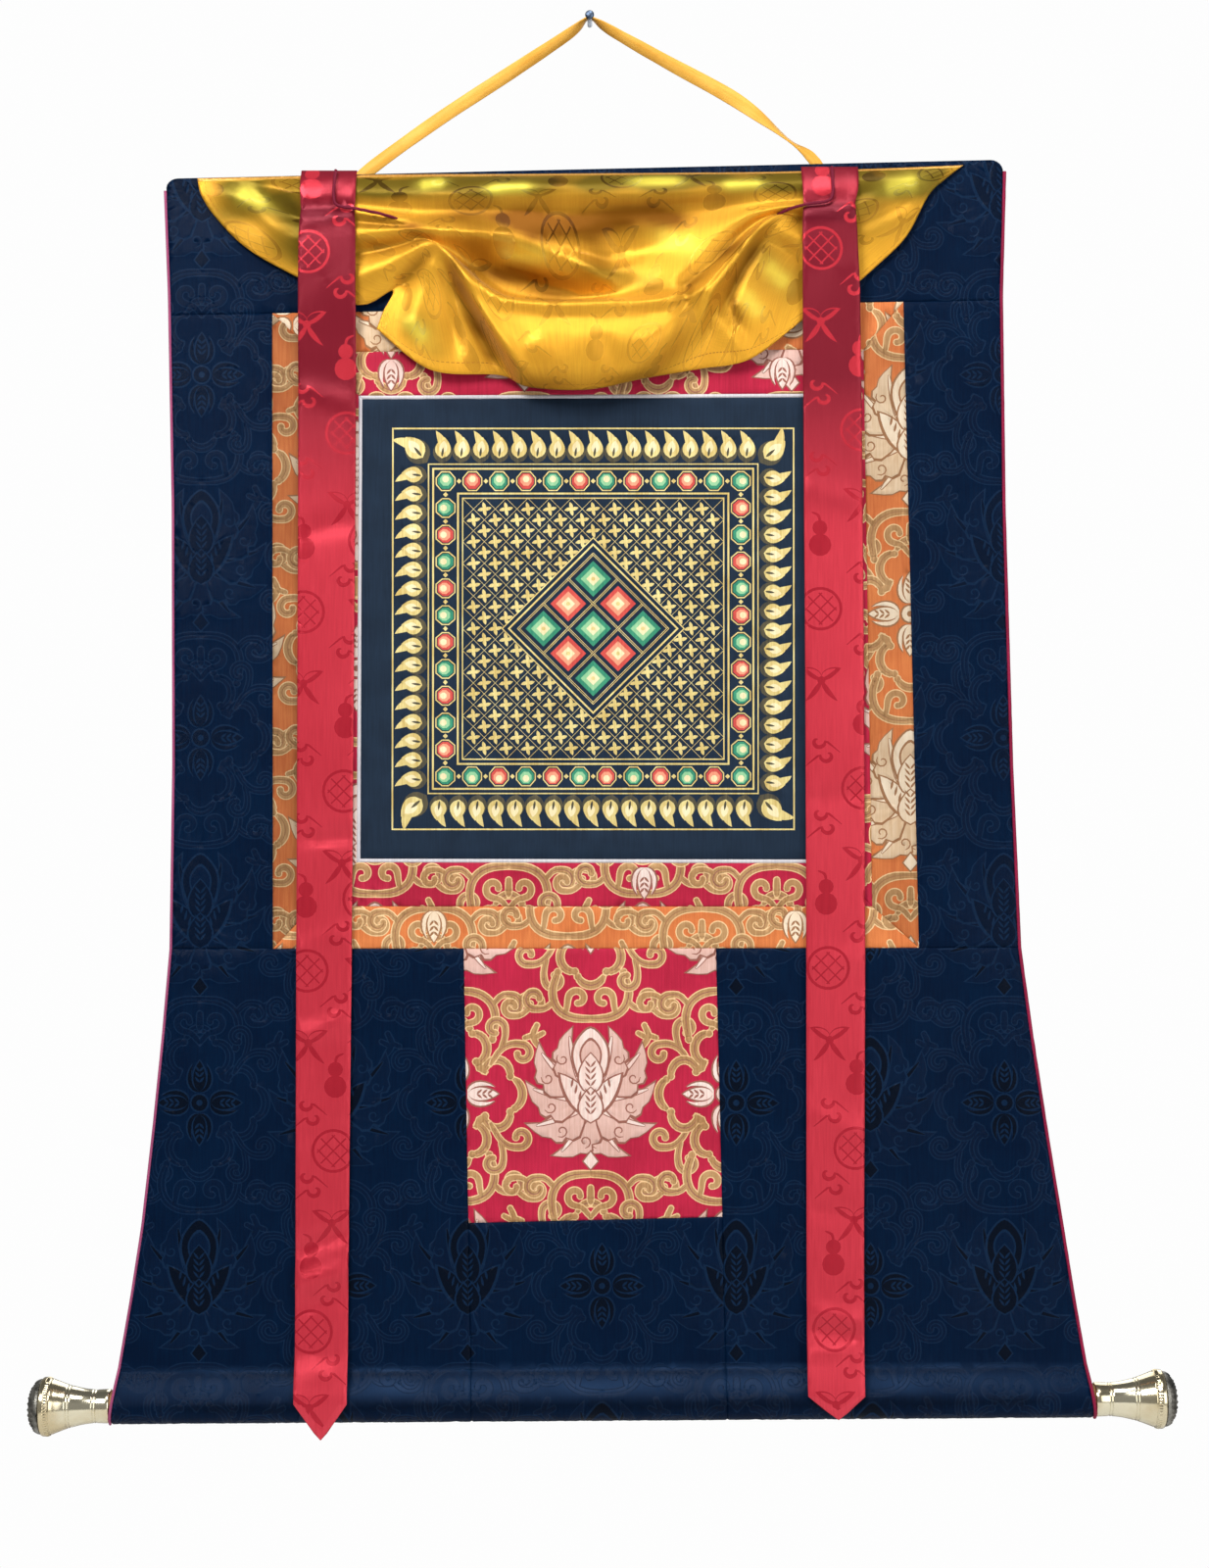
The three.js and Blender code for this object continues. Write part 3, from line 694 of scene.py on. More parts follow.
def foot_path(x, v):
    """Depth, height and outward direction at an unrolled height: on the sheet or round the rod."""
    lean, flank, arc_length = sleeve_lengths()
    apex = stitch_z(x)
    run = apex - v
    if run <= 0:
        return cloth_depth(x, v), v, (1.0, 0.0)
    if run <= flank:
        out = (math.cos(lean), math.sin(lean))
        return ROD_DEPTH + run * math.sin(lean), apex - run * math.cos(lean), out
    if run <= flank + arc_length:
        turn = lean - (run - flank) / SLEEVE["radius"]
        out = (math.cos(turn), math.sin(turn))
        return ROD_DEPTH + SLEEVE["radius"] * out[0], rod_z(x) + SLEEVE["radius"] * out[1], out
    run = 2 * flank + arc_length - run
    out = (-math.cos(lean), math.sin(lean))
    return ROD_DEPTH - run * math.sin(lean), apex - run * math.cos(lean), out


def hung_foot(x, v, front):
    depth, z, out = foot_path(x, v)
    off = (front - 0.5) * CLOTH
    run = stitch_z(x) - v
    if run < 0:
        off += crease_height(CREASES, x, z)
    off -= STITCHING["dent"] * bell(run, 0, STITCHING["half_width"])
    return point(x, depth + off * out[0], z + off * out[1])


def veil_value(name, across, down):
    return through([through(fold[name], across) for fold in VEIL_FOLDS.values()], down)


def hung_veil(u, v, front):
    across = u / VEIL_FLAT["width"]
    down = -v / VEIL_FLAT["length"]
    x = veil_value("x", across, down)
    z = veil_value("z", across, down)
    out = veil_value("out", across, down)
    loose = clamp(down * VEIL_STEADY["seam"]) * clamp((1 - down) * VEIL_STEADY["hem"])
    loose *= clamp(across * VEIL_STEADY["ends"]) * clamp((1 - across) * VEIL_STEADY["ends"])
    out = max(out + crease_height(VEIL_CREASES, x, z) * loose, VEIL_CLEAR)
    return point(x, front_depth(x, z) + out + front * SILK, z)


def strap_share(rows, z):
    return row_place(rows, "z", z) / (len(rows) - 1)


def hung_strap(rows):
    def place(u, v, front):
        share = strap_share(rows, v)
        x = column(rows, "x", share) + u
        loose = clamp((STRAP_STEADY["from_z"] - v) / STRAP_STEADY["fade"])
        out = column(rows, "out", share) + crease_height(STRAP_CREASES, x, v) * loose
        return point(x, front_depth(x, v) + max(out, STRAP_CLEAR) + front * SILK, v)
    return place


# Flat shapes of a pattern
def smooth(points, count):
    xs = [p[0] for p in points]
    ys = [p[1] for p in points]
    return [(through(xs, i / count), through(ys, i / count)) for i in range(count + 1)]


STROKE_END = dict(reach=0.5, width=0.55)


def stroke(points, widths, extra=0.0):
    """The outline of a brush stroke along points, with narrowed ends. Widths are at even steps."""
    last = len(points) - 1
    left = []
    right = []
    for i, (x, y) in enumerate(points):
        before = points[max(i - 1, 0)]
        after = points[min(i + 1, last)]
        along = Vector((after[0] - before[0], after[1] - before[1])).normalized()
        half = through(widths, i / last) / 2 + extra
        if i in (0, last):
            onward = (extra + half * STROKE_END["reach"]) * (1 if i else -1)
            x += along.x * onward
            y += along.y * onward
            half *= STROKE_END["width"]
        left.append((x - along.y * half, y + along.x * half))
        right.append((x + along.y * half, y - along.x * half))
    return left + right[::-1]


def circle(x, y, radius, count=14):
    turns = [2 * math.pi * i / count for i in range(count)]
    return [(x + radius * math.cos(t), y + radius * math.sin(t)) for t in turns]


LEAF_FULL = 0.8


def leaf(x, y, angle, length, width, bend=0.0, count=8):
    """A pointed petal from its base, bent to one side."""
    left = []
    right = []
    for i in range(count + 1):
        t = i / count
        turn = math.radians(angle + bend * t)
        spine_x = x - math.sin(turn) * length * t
        spine_y = y + math.cos(turn) * length * t
        half = width / 2 * math.sin(math.pi * t ** LEAF_FULL) ** LEAF_FULL
        left.append((spine_x - math.cos(turn) * half, spine_y - math.sin(turn) * half))
        right.append((spine_x + math.cos(turn) * half, spine_y + math.sin(turn) * half))
    return left + right[-2:0:-1]


def spiral(x, y, radius, start, hand, turns, count, shrink=0.72):
    """A curl that winds inwards, from its outer end."""
    points = []
    for i in range(count + 1):
        t = i / count
        angle = math.radians(start) + hand * 2 * math.pi * turns * t
        reach = radius * (1 - shrink * t)
        points.append((x + reach * math.cos(angle), y + reach * math.sin(angle)))
    return points


def arc(x, y, radius, start, end, count=10):
    turns = [math.radians(mix(start, end, i / count)) for i in range(count + 1)]
    return [(x + radius * math.cos(t), y + radius * math.sin(t)) for t in turns]


def moved(shapes, dx, dy, flip=1):
    return [(kind, [(dx + flip * x, dy + y) for x, y in points]) for kind, points in shapes]


QUARTERS = [(1, 0), (0, 1), (-1, 0), (0, -1)]


def quarter_turned(points, turn):
    return [(turn[0] * x - turn[1] * y, turn[1] * x + turn[0] * y) for x, y in points]


def scaled(points, share_x, share_y, middle=0.0):
    """Points scaled about a height."""
    return [(share_x * x, middle + share_y * (y - middle)) for x, y in points]


OUTLINE = 0.75
BAND_SHARE = 0.78
BAND_END = 0.56
WIDE_BAND = 4.8
SHORT_BAND = 5
BAND_THREAD = [0.4, 0.7, 0.4]


def bands(lines):
    """Woven bands that run together: a light outline round all, and a dark thread along wide ones."""
    shapes = []
    for grow, kind in ((OUTLINE, "outline"), (0.0, "band")):
        for points, widths in lines:
            narrow = [BAND_SHARE * width for width in widths]
            shapes.append((kind, stroke(points, narrow, grow)))
            shapes.append((kind, circle(*points[-1], BAND_END * narrow[-1] + grow, count=10)))
    for points, widths in lines:
        if max(widths) > WIDE_BAND and len(points) > SHORT_BAND:
            shapes.append(("vein", stroke(points[1:-1], BAND_THREAD)))
    return shapes


# A petal's outline as shares of its width and length: one side plain, the other in scallops
FLAME = [
    (0, 0), (-0.06, 0.25), (-0.07, 0.5), (-0.04, 0.76), (-0.14, 1.0), (0.02, 0.93), (0.13, 0.86), (0.2, 0.75),
    (0.29, 0.71), (0.33, 0.62), (0.29, 0.54), (0.37, 0.46), (0.37, 0.34), (0.26, 0.2), (0.12, 0.07),
]
LOTUS_PETALS = table(
    "x y angle length width",
    (2, -8, 154, 38, 44),
    (3, -6, 118, 40, 44),
    (4, -2, 85, 38, 44),
    (5, 2, 51, 41, 42),
    (4, 5, 20, 38, 38),
)
# On a petal: how its rim grows about a middle, its rib with its widths, and its curl
PETAL_RIM = dict(a=0.12, b=0.5, wider=1.16, longer=1.06)
PETAL_RIB = [(0.06, 0.14), (0.02, 0.5), (-0.05, 0.86)]
RIB_STEPS = 6
RIB_WIDTHS = [("vein", [3.2, 3.8, 2.4]), ("petal_edge", [1.8, 2.4, 1.2])]
PETAL_CURL = dict(a=0.19, b=0.55, radius=4.2, start=60, steps=10, widths=[0.8, 1.0, 0.8])
LOTUS_TOP = [(-8, 12), (-11, 24), (-8.5, 34), (0, 42), (8.5, 34), (11, 24), (8, 12), (0, 6)]
LOTUS_TOP_MIDDLE = 25
LOTUS_TIP = [(0, -48), (4.5, -43), (0, -37), (-4.5, -43)]
TIP_RIM = dict(grow=1.25, rise=10.7)
CHEVRON = dict(lean=38, width=1.4)


def on_petal(row, a, b):
    turn = math.radians(row["angle"])
    a *= row["width"]
    b *= row["length"]
    x = row["x"] + math.sin(turn) * b + math.cos(turn) * a
    y = row["y"] + math.cos(turn) * b - math.sin(turn) * a
    return (x, y)


def petal(row):
    """A scalloped petal with a white rib and a small curl."""
    edge = [on_petal(row, a, b) for a, b in FLAME]
    rim = []
    for a, b in FLAME:
        wide = PETAL_RIM["a"] + (a - PETAL_RIM["a"]) * PETAL_RIM["wider"]
        far = PETAL_RIM["b"] + (b - PETAL_RIM["b"]) * PETAL_RIM["longer"]
        rim.append(on_petal(row, wide, far))
    shapes = [("vein", rim), ("petal", edge)]
    rib = smooth([on_petal(row, a, b) for a, b in PETAL_RIB], RIB_STEPS)
    shapes += [(kind, stroke(rib, widths)) for kind, widths in RIB_WIDTHS]
    middle = on_petal(row, PETAL_CURL["a"], PETAL_CURL["b"])
    start = PETAL_CURL["start"] - row["angle"]
    curl = spiral(*middle, PETAL_CURL["radius"], start, hand=-1, turns=1.0, count=PETAL_CURL["steps"])
    return shapes + [("vein", stroke(curl, PETAL_CURL["widths"]))]


def chevrons(y, count, step, length):
    shapes = []
    for i in range(count):
        for side in (-1, 1):
            lean = CHEVRON["lean"] * side
            shapes.append(("vein", leaf(0, y + i * step, lean, length, CHEVRON["width"], count=4)))
    return shapes


def lotus_heart():
    """The arched middle petal, and leaves with ribs below it."""
    middle = LOTUS_TOP_MIDDLE
    inner = scaled(LOTUS_TOP, 0.66, 0.66, middle)
    shapes = [
        ("vein", smooth(scaled(LOTUS_TOP, 1.14, 1.08, middle), 28)),
        ("petal_edge", smooth(LOTUS_TOP, 28)),
        ("vein", smooth(inner, 20)),
        ("petal", smooth(scaled(inner, 0.84, 0.84, middle), 16)),
    ]
    for side in (-1, 1):
        shapes.append(("vein", leaf(0, -15, 30 * side, 36, 15, 6 * side)))
        shapes.append(("petal_edge", leaf(0, -14, 30 * side, 33, 12, 6 * side)))
        for reach in (10, 15, 20, 25):
            base = (-side * reach * 0.5, reach * 0.84 - 17)
            shapes.append(("vein", leaf(*base, -12 * side, 7, 1.6, count=4)))
    for y, length, width in ((0, 26, 15), (-18, 22, 15)):
        shapes.append(("vein", leaf(0, y - 1, 0, length + 2, width + 2.4)))
        shapes.append(("petal_edge", leaf(0, y, 0, length, width)))
        shapes += chevrons(y + 5, 4, 4, 6)
    return shapes


def lotus():
    shapes = []
    for row in LOTUS_PETALS:
        shapes += petal(row) + moved(petal(row), 0, 0, -1)
    tip_rim = [(TIP_RIM["grow"] * x, TIP_RIM["grow"] * y + TIP_RIM["rise"]) for x, y in LOTUS_TIP]
    return shapes + lotus_heart() + [("vein", tip_rim), ("petal_edge", LOTUS_TIP)]


# Each leaf of a bud: kind, length and width
SEPAL = dict(lean=70, bend=-56, leaves=[("vein", 19, 5.6), ("petal_edge", 18, 3.4)])
BUD = [("vein", 21, 10.4), ("petal_edge", 19.8, 8.2)]
BUD_VEIN = dict(reaches=(6, 9.5, 13), lean=40, length=4.6, width=1.5)


def bud(angle):
    """A small bud with two sepals, its base at the origin."""
    shapes = []
    for side in (-1, 1):
        for kind, length, width in SEPAL["leaves"]:
            lean = angle + SEPAL["lean"] * side
            shapes.append((kind, leaf(0, 0, lean, length, width, SEPAL["bend"] * side)))
    shapes += [(kind, leaf(0, 0, angle, length, width)) for kind, length, width in BUD]
    turn = math.radians(angle)
    for reach in BUD_VEIN["reaches"]:
        base = (-math.sin(turn) * reach, math.cos(turn) * reach)
        for side in (-1, 1):
            lean = angle + BUD_VEIN["lean"] * side
            shapes.append(("vein", leaf(*base, lean, BUD_VEIN["length"], BUD_VEIN["width"], count=4)))
    return shapes


TALL = 1.12
ARM_WIDTHS = [4.6, 5.8, 5.8, 4.6]
CROSS_SHOULDER = dict(x=26, y=11, radius=8.6, start=168, end=-6)
CROSS_LOBE = dict(x=33, y=0, radius=9.4, start=62, end=-62)
CROSS_CORNER = [(18.4, 12.6), (15, 15), (12.6, 18.4)]
CROSS_EYE = [("vein", 6.4), ("petal_edge", 5.2), ("vein", 2)]
BUD_OFF = 7


def cross():
    """Four buds in a frame of four arms, each a wide lobe between two shoulders."""
    upper = arc(**CROSS_SHOULDER)
    lower = [(x, -y) for x, y in upper]
    lobe = arc(**CROSS_LOBE)
    lines = []
    for turn in QUARTERS:
        for points in (upper, lower, lobe, CROSS_CORNER):
            lines.append((scaled(quarter_turned(points, turn), 1, TALL), ARM_WIDTHS))
    shapes = bands(lines)
    for angle in (0, 90, 180, 270):
        turn = math.radians(angle)
        shapes += moved(bud(angle), -math.sin(turn) * BUD_OFF, math.cos(turn) * BUD_OFF)
    return shapes + [(kind, circle(0, 0, radius)) for kind, radius in CROSS_EYE]


# Bands to the right of a lotus: a stem, which runs into a curl where it has one
SCROLLS = [
    dict(stem=[(-3, 48), (12, 49), (21.5, 55), (24.5, 66), (21, 78)], width=5.6),
    dict(stem=[(-3, -51), (12, -52), (21.5, -58), (25, -68), (23, -82)], width=5.6),
    dict(stem=[(16, 52), (15, 57)], x=8.5, y=61, radius=6, start=0, hand=1, width=4.6),
    dict(stem=[(23, 60), (29, 55)], x=36, y=61, radius=6.6, start=-90, hand=1, width=5),
    dict(stem=[(39, 55), (45, 50.5)], x=51, y=55.5, radius=5.4, start=-90, hand=1, width=4.4),
    dict(stem=[(64, 19), (58, 28), (51, 32)], x=44, y=26, radius=6, start=90, hand=1, width=5),
    dict(stem=[(58, 27), (55, 36)], x=61, y=42, radius=6.2, start=180, hand=-1, width=5),
    dict(stem=[(33, 30), (37, 37), (34.5, 44)], width=4),
    dict(stem=[(36, 38), (42, 36)], width=3.4),
    dict(stem=[(36, 36), (30.5, 39)], width=3.4),
    dict(stem=[(23, -60), (29, -54)], x=35.5, y=-60, radius=6.4, start=90, hand=-1, width=5),
    dict(stem=[(40, -56), (45, -53.5)], x=50, y=-59, radius=5.4, start=90, hand=-1, width=4.4),
    dict(stem=[(64, -19), (58, -29), (52, -33.5)], x=45, y=-28, radius=6, start=-90, hand=-1, width=5),
    dict(stem=[(58, -28), (56, -38)], x=62.5, y=-44, radius=6.2, start=180, hand=1, width=5),
    dict(stem=[(0, -79), (5, -73)], x=9.5, y=-65.5, radius=6, start=-90, hand=1, width=4.6),
    dict(stem=[(0, -70), (0, -60)], width=4.6),
]


SCROLL_CURL = dict(turns=0.74, count=9, shrink=0.52)
SCROLL_WIDTHS = [0.72, 1, 1, 1, 0.84]


def scrolls():
    """The bands and curls round a lotus."""
    lines = []
    for row in SCROLLS:
        line = row["stem"]
        if "radius" in row:
            curl = (row["x"], row["y"], row["radius"], row["start"], row["hand"])
            line = line + spiral(*curl, **SCROLL_CURL)
        widths = [share * row["width"] for share in SCROLL_WIDTHS]
        line = smooth(line, 2 * len(line) + 4)
        lines.append((line, widths))
        lines.append(([(-x, y) for x, y in line], widths))
    return bands(lines)


REPEAT = dict(across=86, up=117, reach=84)


def repeats(low, high, start, step):
    """The numbers of whole steps from a start to the places between two ends."""
    return range(math.ceil((low - start) / step), math.ceil((high - start) / step))


def brocade(outline, origin):
    """The woven repeat over a cloth: lotus and cross in turn, with scrolls, placed from an origin lotus."""
    low_x, low_z, high_x, high_z = box_of(outline)
    reach = REPEAT["reach"]
    shapes = []
    for i in repeats(low_x - reach, high_x + reach, origin[0], REPEAT["across"]):
        for j in repeats(low_z - reach, high_z + reach, origin[1], REPEAT["up"]):
            motif = scrolls() + lotus() if (i + j) % 2 == 0 else cross()
            shapes += moved(motif, origin[0] + i * REPEAT["across"], origin[1] + j * REPEAT["up"])
    return touching(shapes, outline)


def touching(shapes, outline):
    """The shapes that reach into the box of an outline."""
    low_x, low_z, high_x, high_z = box_of(outline)
    kept = []
    for kind, points in shapes:
        left, low, right, high = box_of(points)
        if right > low_x and left < high_x and high > low_z and low < high_z:
            kept.append((kind, points))
    return kept


# Cloth meshes
STAGGER = 0.25
BACK_PITCH = 1.6
PAINT_LIFT = 0.05
LIFT = dict(ground=0, outline=0.12, band=0.32, petal_edge=0.15, petal=0.34, vein=-0.06, figure=0.1, fold=0.35)


def sampled(corners, pitch):
    """A closed outline with a point about every pitch."""
    points = []
    for a, b in zip(corners, corners[1:] + corners[:1]):
        count = max(1, round(math.dist(a, b) / pitch))
        points += [(mix(a[0], b[0], i / count), mix(a[1], b[1], i / count)) for i in range(count)]
    return points


def rim_points(outline):
    """A second row of points just inside an outline."""
    rows = []
    count = len(outline)
    for i, p in enumerate(outline):
        before = Vector(outline[i - 1])
        after = Vector(outline[(i + 1) % count])
        along = (after - before).normalized()
        rows.append(Vector((p[0] - along.y * RIM, p[1] + along.x * RIM)))
    return rows


def grid_points(outline, pitch):
    """Staggered points over the box of an outline."""
    low_x, low_z, high_x, high_z = box_of(outline)
    wide = max(2, round((high_x - low_x) / pitch))
    high = max(2, round((high_z - low_z) / pitch))
    points = []
    for i in range(1, wide):
        for j in range(1, high):
            aside = STAGGER * pitch * (j % 2)
            points.append(Vector((mix(low_x, high_x, i / wide) + aside, mix(low_z, high_z, j / high))))
    return points


def woven(name, outline, shapes, place, pitch, materials, tones=None, relief=1.0, more=()):
    """A closed sheet cut to a flat outline, with its woven shapes as faces of the same mesh."""
    if area_of(outline) < 0:
        outline = outline[::-1]
    spots = [Vector(p) for p in outline]
    rings = [list(range(len(spots)))]
    owner = [0] * len(spots)
    kinds = ["ground"]
    for kind, points in shapes:
        ring = points if area_of(points) > 0 else points[::-1]
        rings.append(list(range(len(spots), len(spots) + len(ring))))
        spots += [Vector(p) for p in ring]
        owner += [len(kinds)] * len(ring)
        kinds.append(kind)
    free = rim_points(outline) + grid_points(outline, pitch) + list(more)
    spots += free
    owner += [None] * len(free)
    flat, _, faces, source, _, inside = delaunay_2d_cdt(spots, [], rings, 1, 1e-4, True)
    front = [(face, max(held)) for face, held in zip(faces, inside) if 0 in held]
    return sheet_mesh(name, flat, front, source, owner, kinds, place, pitch, materials, tones, relief)


def border_of(front):
    """The vertices round the edge of a sheet, in order."""
    edges = set()
    for face, _ in front:
        for a, b in zip(face, face[1:] + face[:1]):
            edges.add((a, b))
    following = {a: b for a, b in edges if (b, a) not in edges}
    ring = [min(following)]
    while following[ring[-1]] != ring[0]:
        ring.append(following[ring[-1]])
    return ring


EDGE_STEP = 0.4


def edge_tree(ring):
    """Close points round an edge, to find how far from it a point lies."""
    points = []
    for a, b in zip(ring, ring[1:] + ring[:1]):
        count = max(1, math.ceil((b - a).length / EDGE_STEP))
        points += [a.lerp(b, i / count) for i in range(count)]
    tree = kdtree.KDTree(len(points))
    for i, p in enumerate(points):
        tree.insert((p.x, p.y, 0), i)
    tree.balance()
    return tree


def sheet_mesh(name, flat, front, source, owner, kinds, place, pitch, materials, tones, relief):
    """The sheet's front with its lifted shapes, its plain back, and the edge between them."""
    ring = border_of(front)
    on_border = set(ring)
    edge = edge_tree([flat[v] for v in ring])
    used = {}
    owners = {}
    for face, top in front:
        for v in face:
            used.setdefault(v, len(used))
            owners.setdefault(v, set()).add(top)
    vertices = []
    uvs = []
    for v in used:
        u, w = flat[v]
        lift = relief * lift_at(v, owners[v], source, owner, kinds)
        off_edge = 0.0 if v in on_border else clamp(edge.find((u, w, 0))[2] / RIM)
        share = mix(EDGE_FRONT, 1 + lift / CLOTH, off_edge)
        vertices.append(place(u, w, share))
        uvs.append((u, w))
    polygons = [[used[v] for v in face] for face, _ in front]
    slots = sorted(materials)
    indices = [slots.index(kinds[top]) for _, top in front]
    behind = {}
    for v in ring:
        behind[v] = len(vertices)
        vertices.append(place(*flat[v], 0))
        uvs.append(tuple(flat[v]))
    spots = [flat[v] for v in ring]
    spots += grid_points(spots, pitch * BACK_PITCH)
    rings = [list(range(len(ring)))]
    spots, _, faces, origin, _, inside = delaunay_2d_cdt(spots, [], rings, 1, 1e-5, True)
    back = []
    for spot, from_inputs in zip(spots, origin):
        first = min(from_inputs) if from_inputs else len(ring)
        if first < len(ring):
            back.append(behind[ring[first]])
        else:
            back.append(len(vertices))
            vertices.append(place(spot[0], spot[1], 0))
            uvs.append(tuple(spot))
    polygons += [[back[v] for v in reversed(face)] for face, held in zip(faces, inside) if held]
    polygons += [[used[b], used[a], behind[a], behind[b]] for a, b in zip(ring, ring[1:] + ring[:1])]
    indices += [slots.index("back")] * (len(polygons) - len(indices))
    mesh = bpy.data.meshes.new(name)
    mesh.from_pydata(vertices, [], polygons)
    finish_mesh(mesh, uvs, indices, [materials[slot] for slot in slots], tones)
    return added(name, mesh)


def lift_at(v, tops, source, owner, kinds):
    """How far a woven shape stands off the ground at a vertex."""
    if len(tops) == 1:
        return LIFT.get(kinds[min(tops)], PAINT_LIFT)
    own = [owner[i] for i in source[v] if owner[i] in tops]
    return LIFT.get(kinds[max(own)], PAINT_LIFT) if own else 0.0


def finish_mesh(mesh, uvs, indices, materials, tones):
    for material in materials:
        mesh.materials.append(material)
    mesh.polygons.foreach_set("material_index", indices)
    mesh.polygons.foreach_set("use_smooth", [True] * len(mesh.polygons))
    layer = mesh.uv_layers.new(name="weave")
    flat = []
    for loop in mesh.loops:
        u, w = uvs[loop.vertex_index]
        flat += [u * MM, w * MM]
    layer.data.foreach_set("uv", flat)
    for name, tone in (tones or {}).items():
        spots = mesh.attributes.new(name, "FLOAT", "POINT")
        spots.data.foreach_set("value", [tone(v.co.x / MM, v.co.z / MM) for v in mesh.vertices])
    mesh.validate()
    mesh.update()


def even_normals(mesh):
    """Normals weighted by area, so that slivers round a woven figure don't bend the shading."""
    normals = [Vector() for _ in mesh.vertices]
    for polygon in mesh.polygons:
        push = polygon.normal * polygon.area
        for v in polygon.vertices:
            normals[v] += push
    mesh.normals_split_custom_set_from_vertices([normal.normalized() for normal in normals])


def added(name, mesh):
    piece = bpy.data.objects.new(name, mesh)
    bpy.context.scene.collection.objects.link(piece)
    return piece


def stands_for(piece, node, slot):
    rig.replaces(piece, node)
    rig.ride(piece, BODY)
    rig.slot(piece, slot)
    return piece


# Materials
def rgb(red, green, blue):
    """A screen colour from 0 to 255 as a linear colour."""
    parts = [c / 255 for c in (red, green, blue)]
    return tuple(c / 12.92 if c < 0.04 else ((c + 0.055) / 1.055) ** 2.4 for c in parts) + (1.0,)


def put(tree, kind, values=None, links=None, **settings):
    node = tree.nodes.new(kind)
    for name, value in settings.items():
        setattr(node, name, value)
    for name, value in (values or {}).items():
        node.inputs[name].default_value = value
    for name, socket in (links or {}).items():
        tree.links.new(socket, node.inputs[name])
    return node


def new_material(name, values):
    material = bpy.data.materials.new(name)
    material.use_nodes = True
    shader = material.node_tree.nodes["Principled BSDF"]
    for socket, value in values.items():
        shader.inputs[socket].default_value = value
    return material, material.node_tree, shader


def blended(tree, share, first, second):
    """A colour between two, each a colour or a socket."""
    node = put(tree, "ShaderNodeMix", data_type="RGBA")
    tree.links.new(share, node.inputs["Factor"])
    for socket, value in ((node.inputs[6], first), (node.inputs[7], second)):
        if isinstance(value, tuple):
            socket.default_value = value
        else:
            tree.links.new(value, socket)
    return node.outputs[2]


def ramped(tree, socket, low, high):
    node = put(tree, "ShaderNodeMapRange", {"From Min": low, "From Max": high}, {"Value": socket})
    return node.outputs["Result"]


def speckle(tree, vector, scale, detail):
    """Soft noise from 0 to 1."""
    values = {"Scale": scale, "Detail": detail}
    return put(tree, "ShaderNodeTexNoise", values, {"Vector": vector}).outputs["Fac"]


def stretched(tree, vector, factors):
    return put(tree, "ShaderNodeVectorMath", {1: factors}, {0: vector}, operation="MULTIPLY").outputs[0]


def tone_of(tree, name):
    return put(tree, "ShaderNodeAttribute", attribute_name=name).outputs["Fac"]


def darker(tree, colour, value):
    return put(tree, "ShaderNodeHueSaturation", {"Value": value}, {"Color": colour}).outputs["Color"]


def surfaced(tree, shader, colour, height, strength, distance):
    """Gives a shader its colour and its fine relief."""
    tree.links.new(colour, shader.inputs["Base Color"])
    relief = put(tree, "ShaderNodeBump", {"Strength": strength, "Distance": distance}, {"Height": height})
    tree.links.new(relief.outputs["Normal"], shader.inputs["Normal"])


WAVE_PERIOD = 2 * math.pi / 20


def stripes(tree, vector, direction, period):
    """Fine stripes across a direction, a period in millimetres apart."""
    values = {"Scale": WAVE_PERIOD / (period * MM), "Distortion": 0.6, "Detail": 1.0, "Detail Scale": 0.5}
    settings = dict(wave_type="BANDS", bands_direction=direction)
    return put(tree, "ShaderNodeTexWave", values, {"Vector": vector}, **settings).outputs["Fac"]


SLUB_STRETCH = (900, 45, 1)
SLUB_RELIEF = 0.5
WEFT_SHARE = 0.9
MOTTLE_RANGE = (0.75, 1.25)
THREAD_RANGE = (0.15, 0.75)
TARNISH_RANGE = (0.42, 0.68)
WORN = dict(least=0.7, most=1.6)
SCRATCH_SHARE = 14
GRAIN_STRETCH = (6, 160, 160)
GRAIN_RANGE = (0.35, 0.7)
PAINTED_SHADE_VALUE = 0.55
BETWEEN_THREADS = 0.72
THREAD_RELIEF = 0.0003
METAL_RELIEF = 0.0004


def cloth(name, colour, second, thread=0.6, bump=0.25, mottle=26, tints=None, diagonal=False, **more):
    """Woven cloth: two thread directions, a slow change of colour and slubs along the warp."""
    values = {"Roughness": 0.62, "Sheen Weight": 0.05, "Sheen Roughness": 0.4, "Specular IOR Level": 0.15}
    values.update(more)
    material, tree, shader = new_material(name, values)
    weave = put(tree, "ShaderNodeUVMap", uv_map="weave").outputs["UV"]
    warp = stripes(tree, weave, "DIAGONAL" if diagonal else "X", thread)
    weft = stripes(tree, weave, "Y", thread * WEFT_SHARE)
    threads = put(tree, "ShaderNodeMath", {}, {0: warp, 1: weft}, operation="MAXIMUM").outputs[0]
    slow = speckle(tree, weave, mottle, detail=4.0)
    slub = speckle(tree, stretched(tree, weave, SLUB_STRETCH), scale=1.0, detail=2.0)
    both = put(tree, "ShaderNodeMath", {}, {0: slow, 1: slub}, operation="ADD").outputs[0]
    base = blended(tree, ramped(tree, both, *MOTTLE_RANGE), colour, second)
    for tone, tint in (tints or {}).items():
        base = blended(tree, tone_of(tree, tone), base, tint)
    # Painted shade: the colour is darkened where a piece has its shade tone set
    base = blended(tree, tone_of(tree, "dim"), base, darker(tree, base, PAINTED_SHADE_VALUE))
    base = blended(tree, ramped(tree, threads, *THREAD_RANGE), darker(tree, base, BETWEEN_THREADS), base)
    raised = {0: slub, 2: threads}
    height = put(tree, "ShaderNodeMath", {1: SLUB_RELIEF}, raised, operation="MULTIPLY_ADD")
    surfaced(tree, shader, base, height.outputs[0], bump, THREAD_RELIEF)
    return material


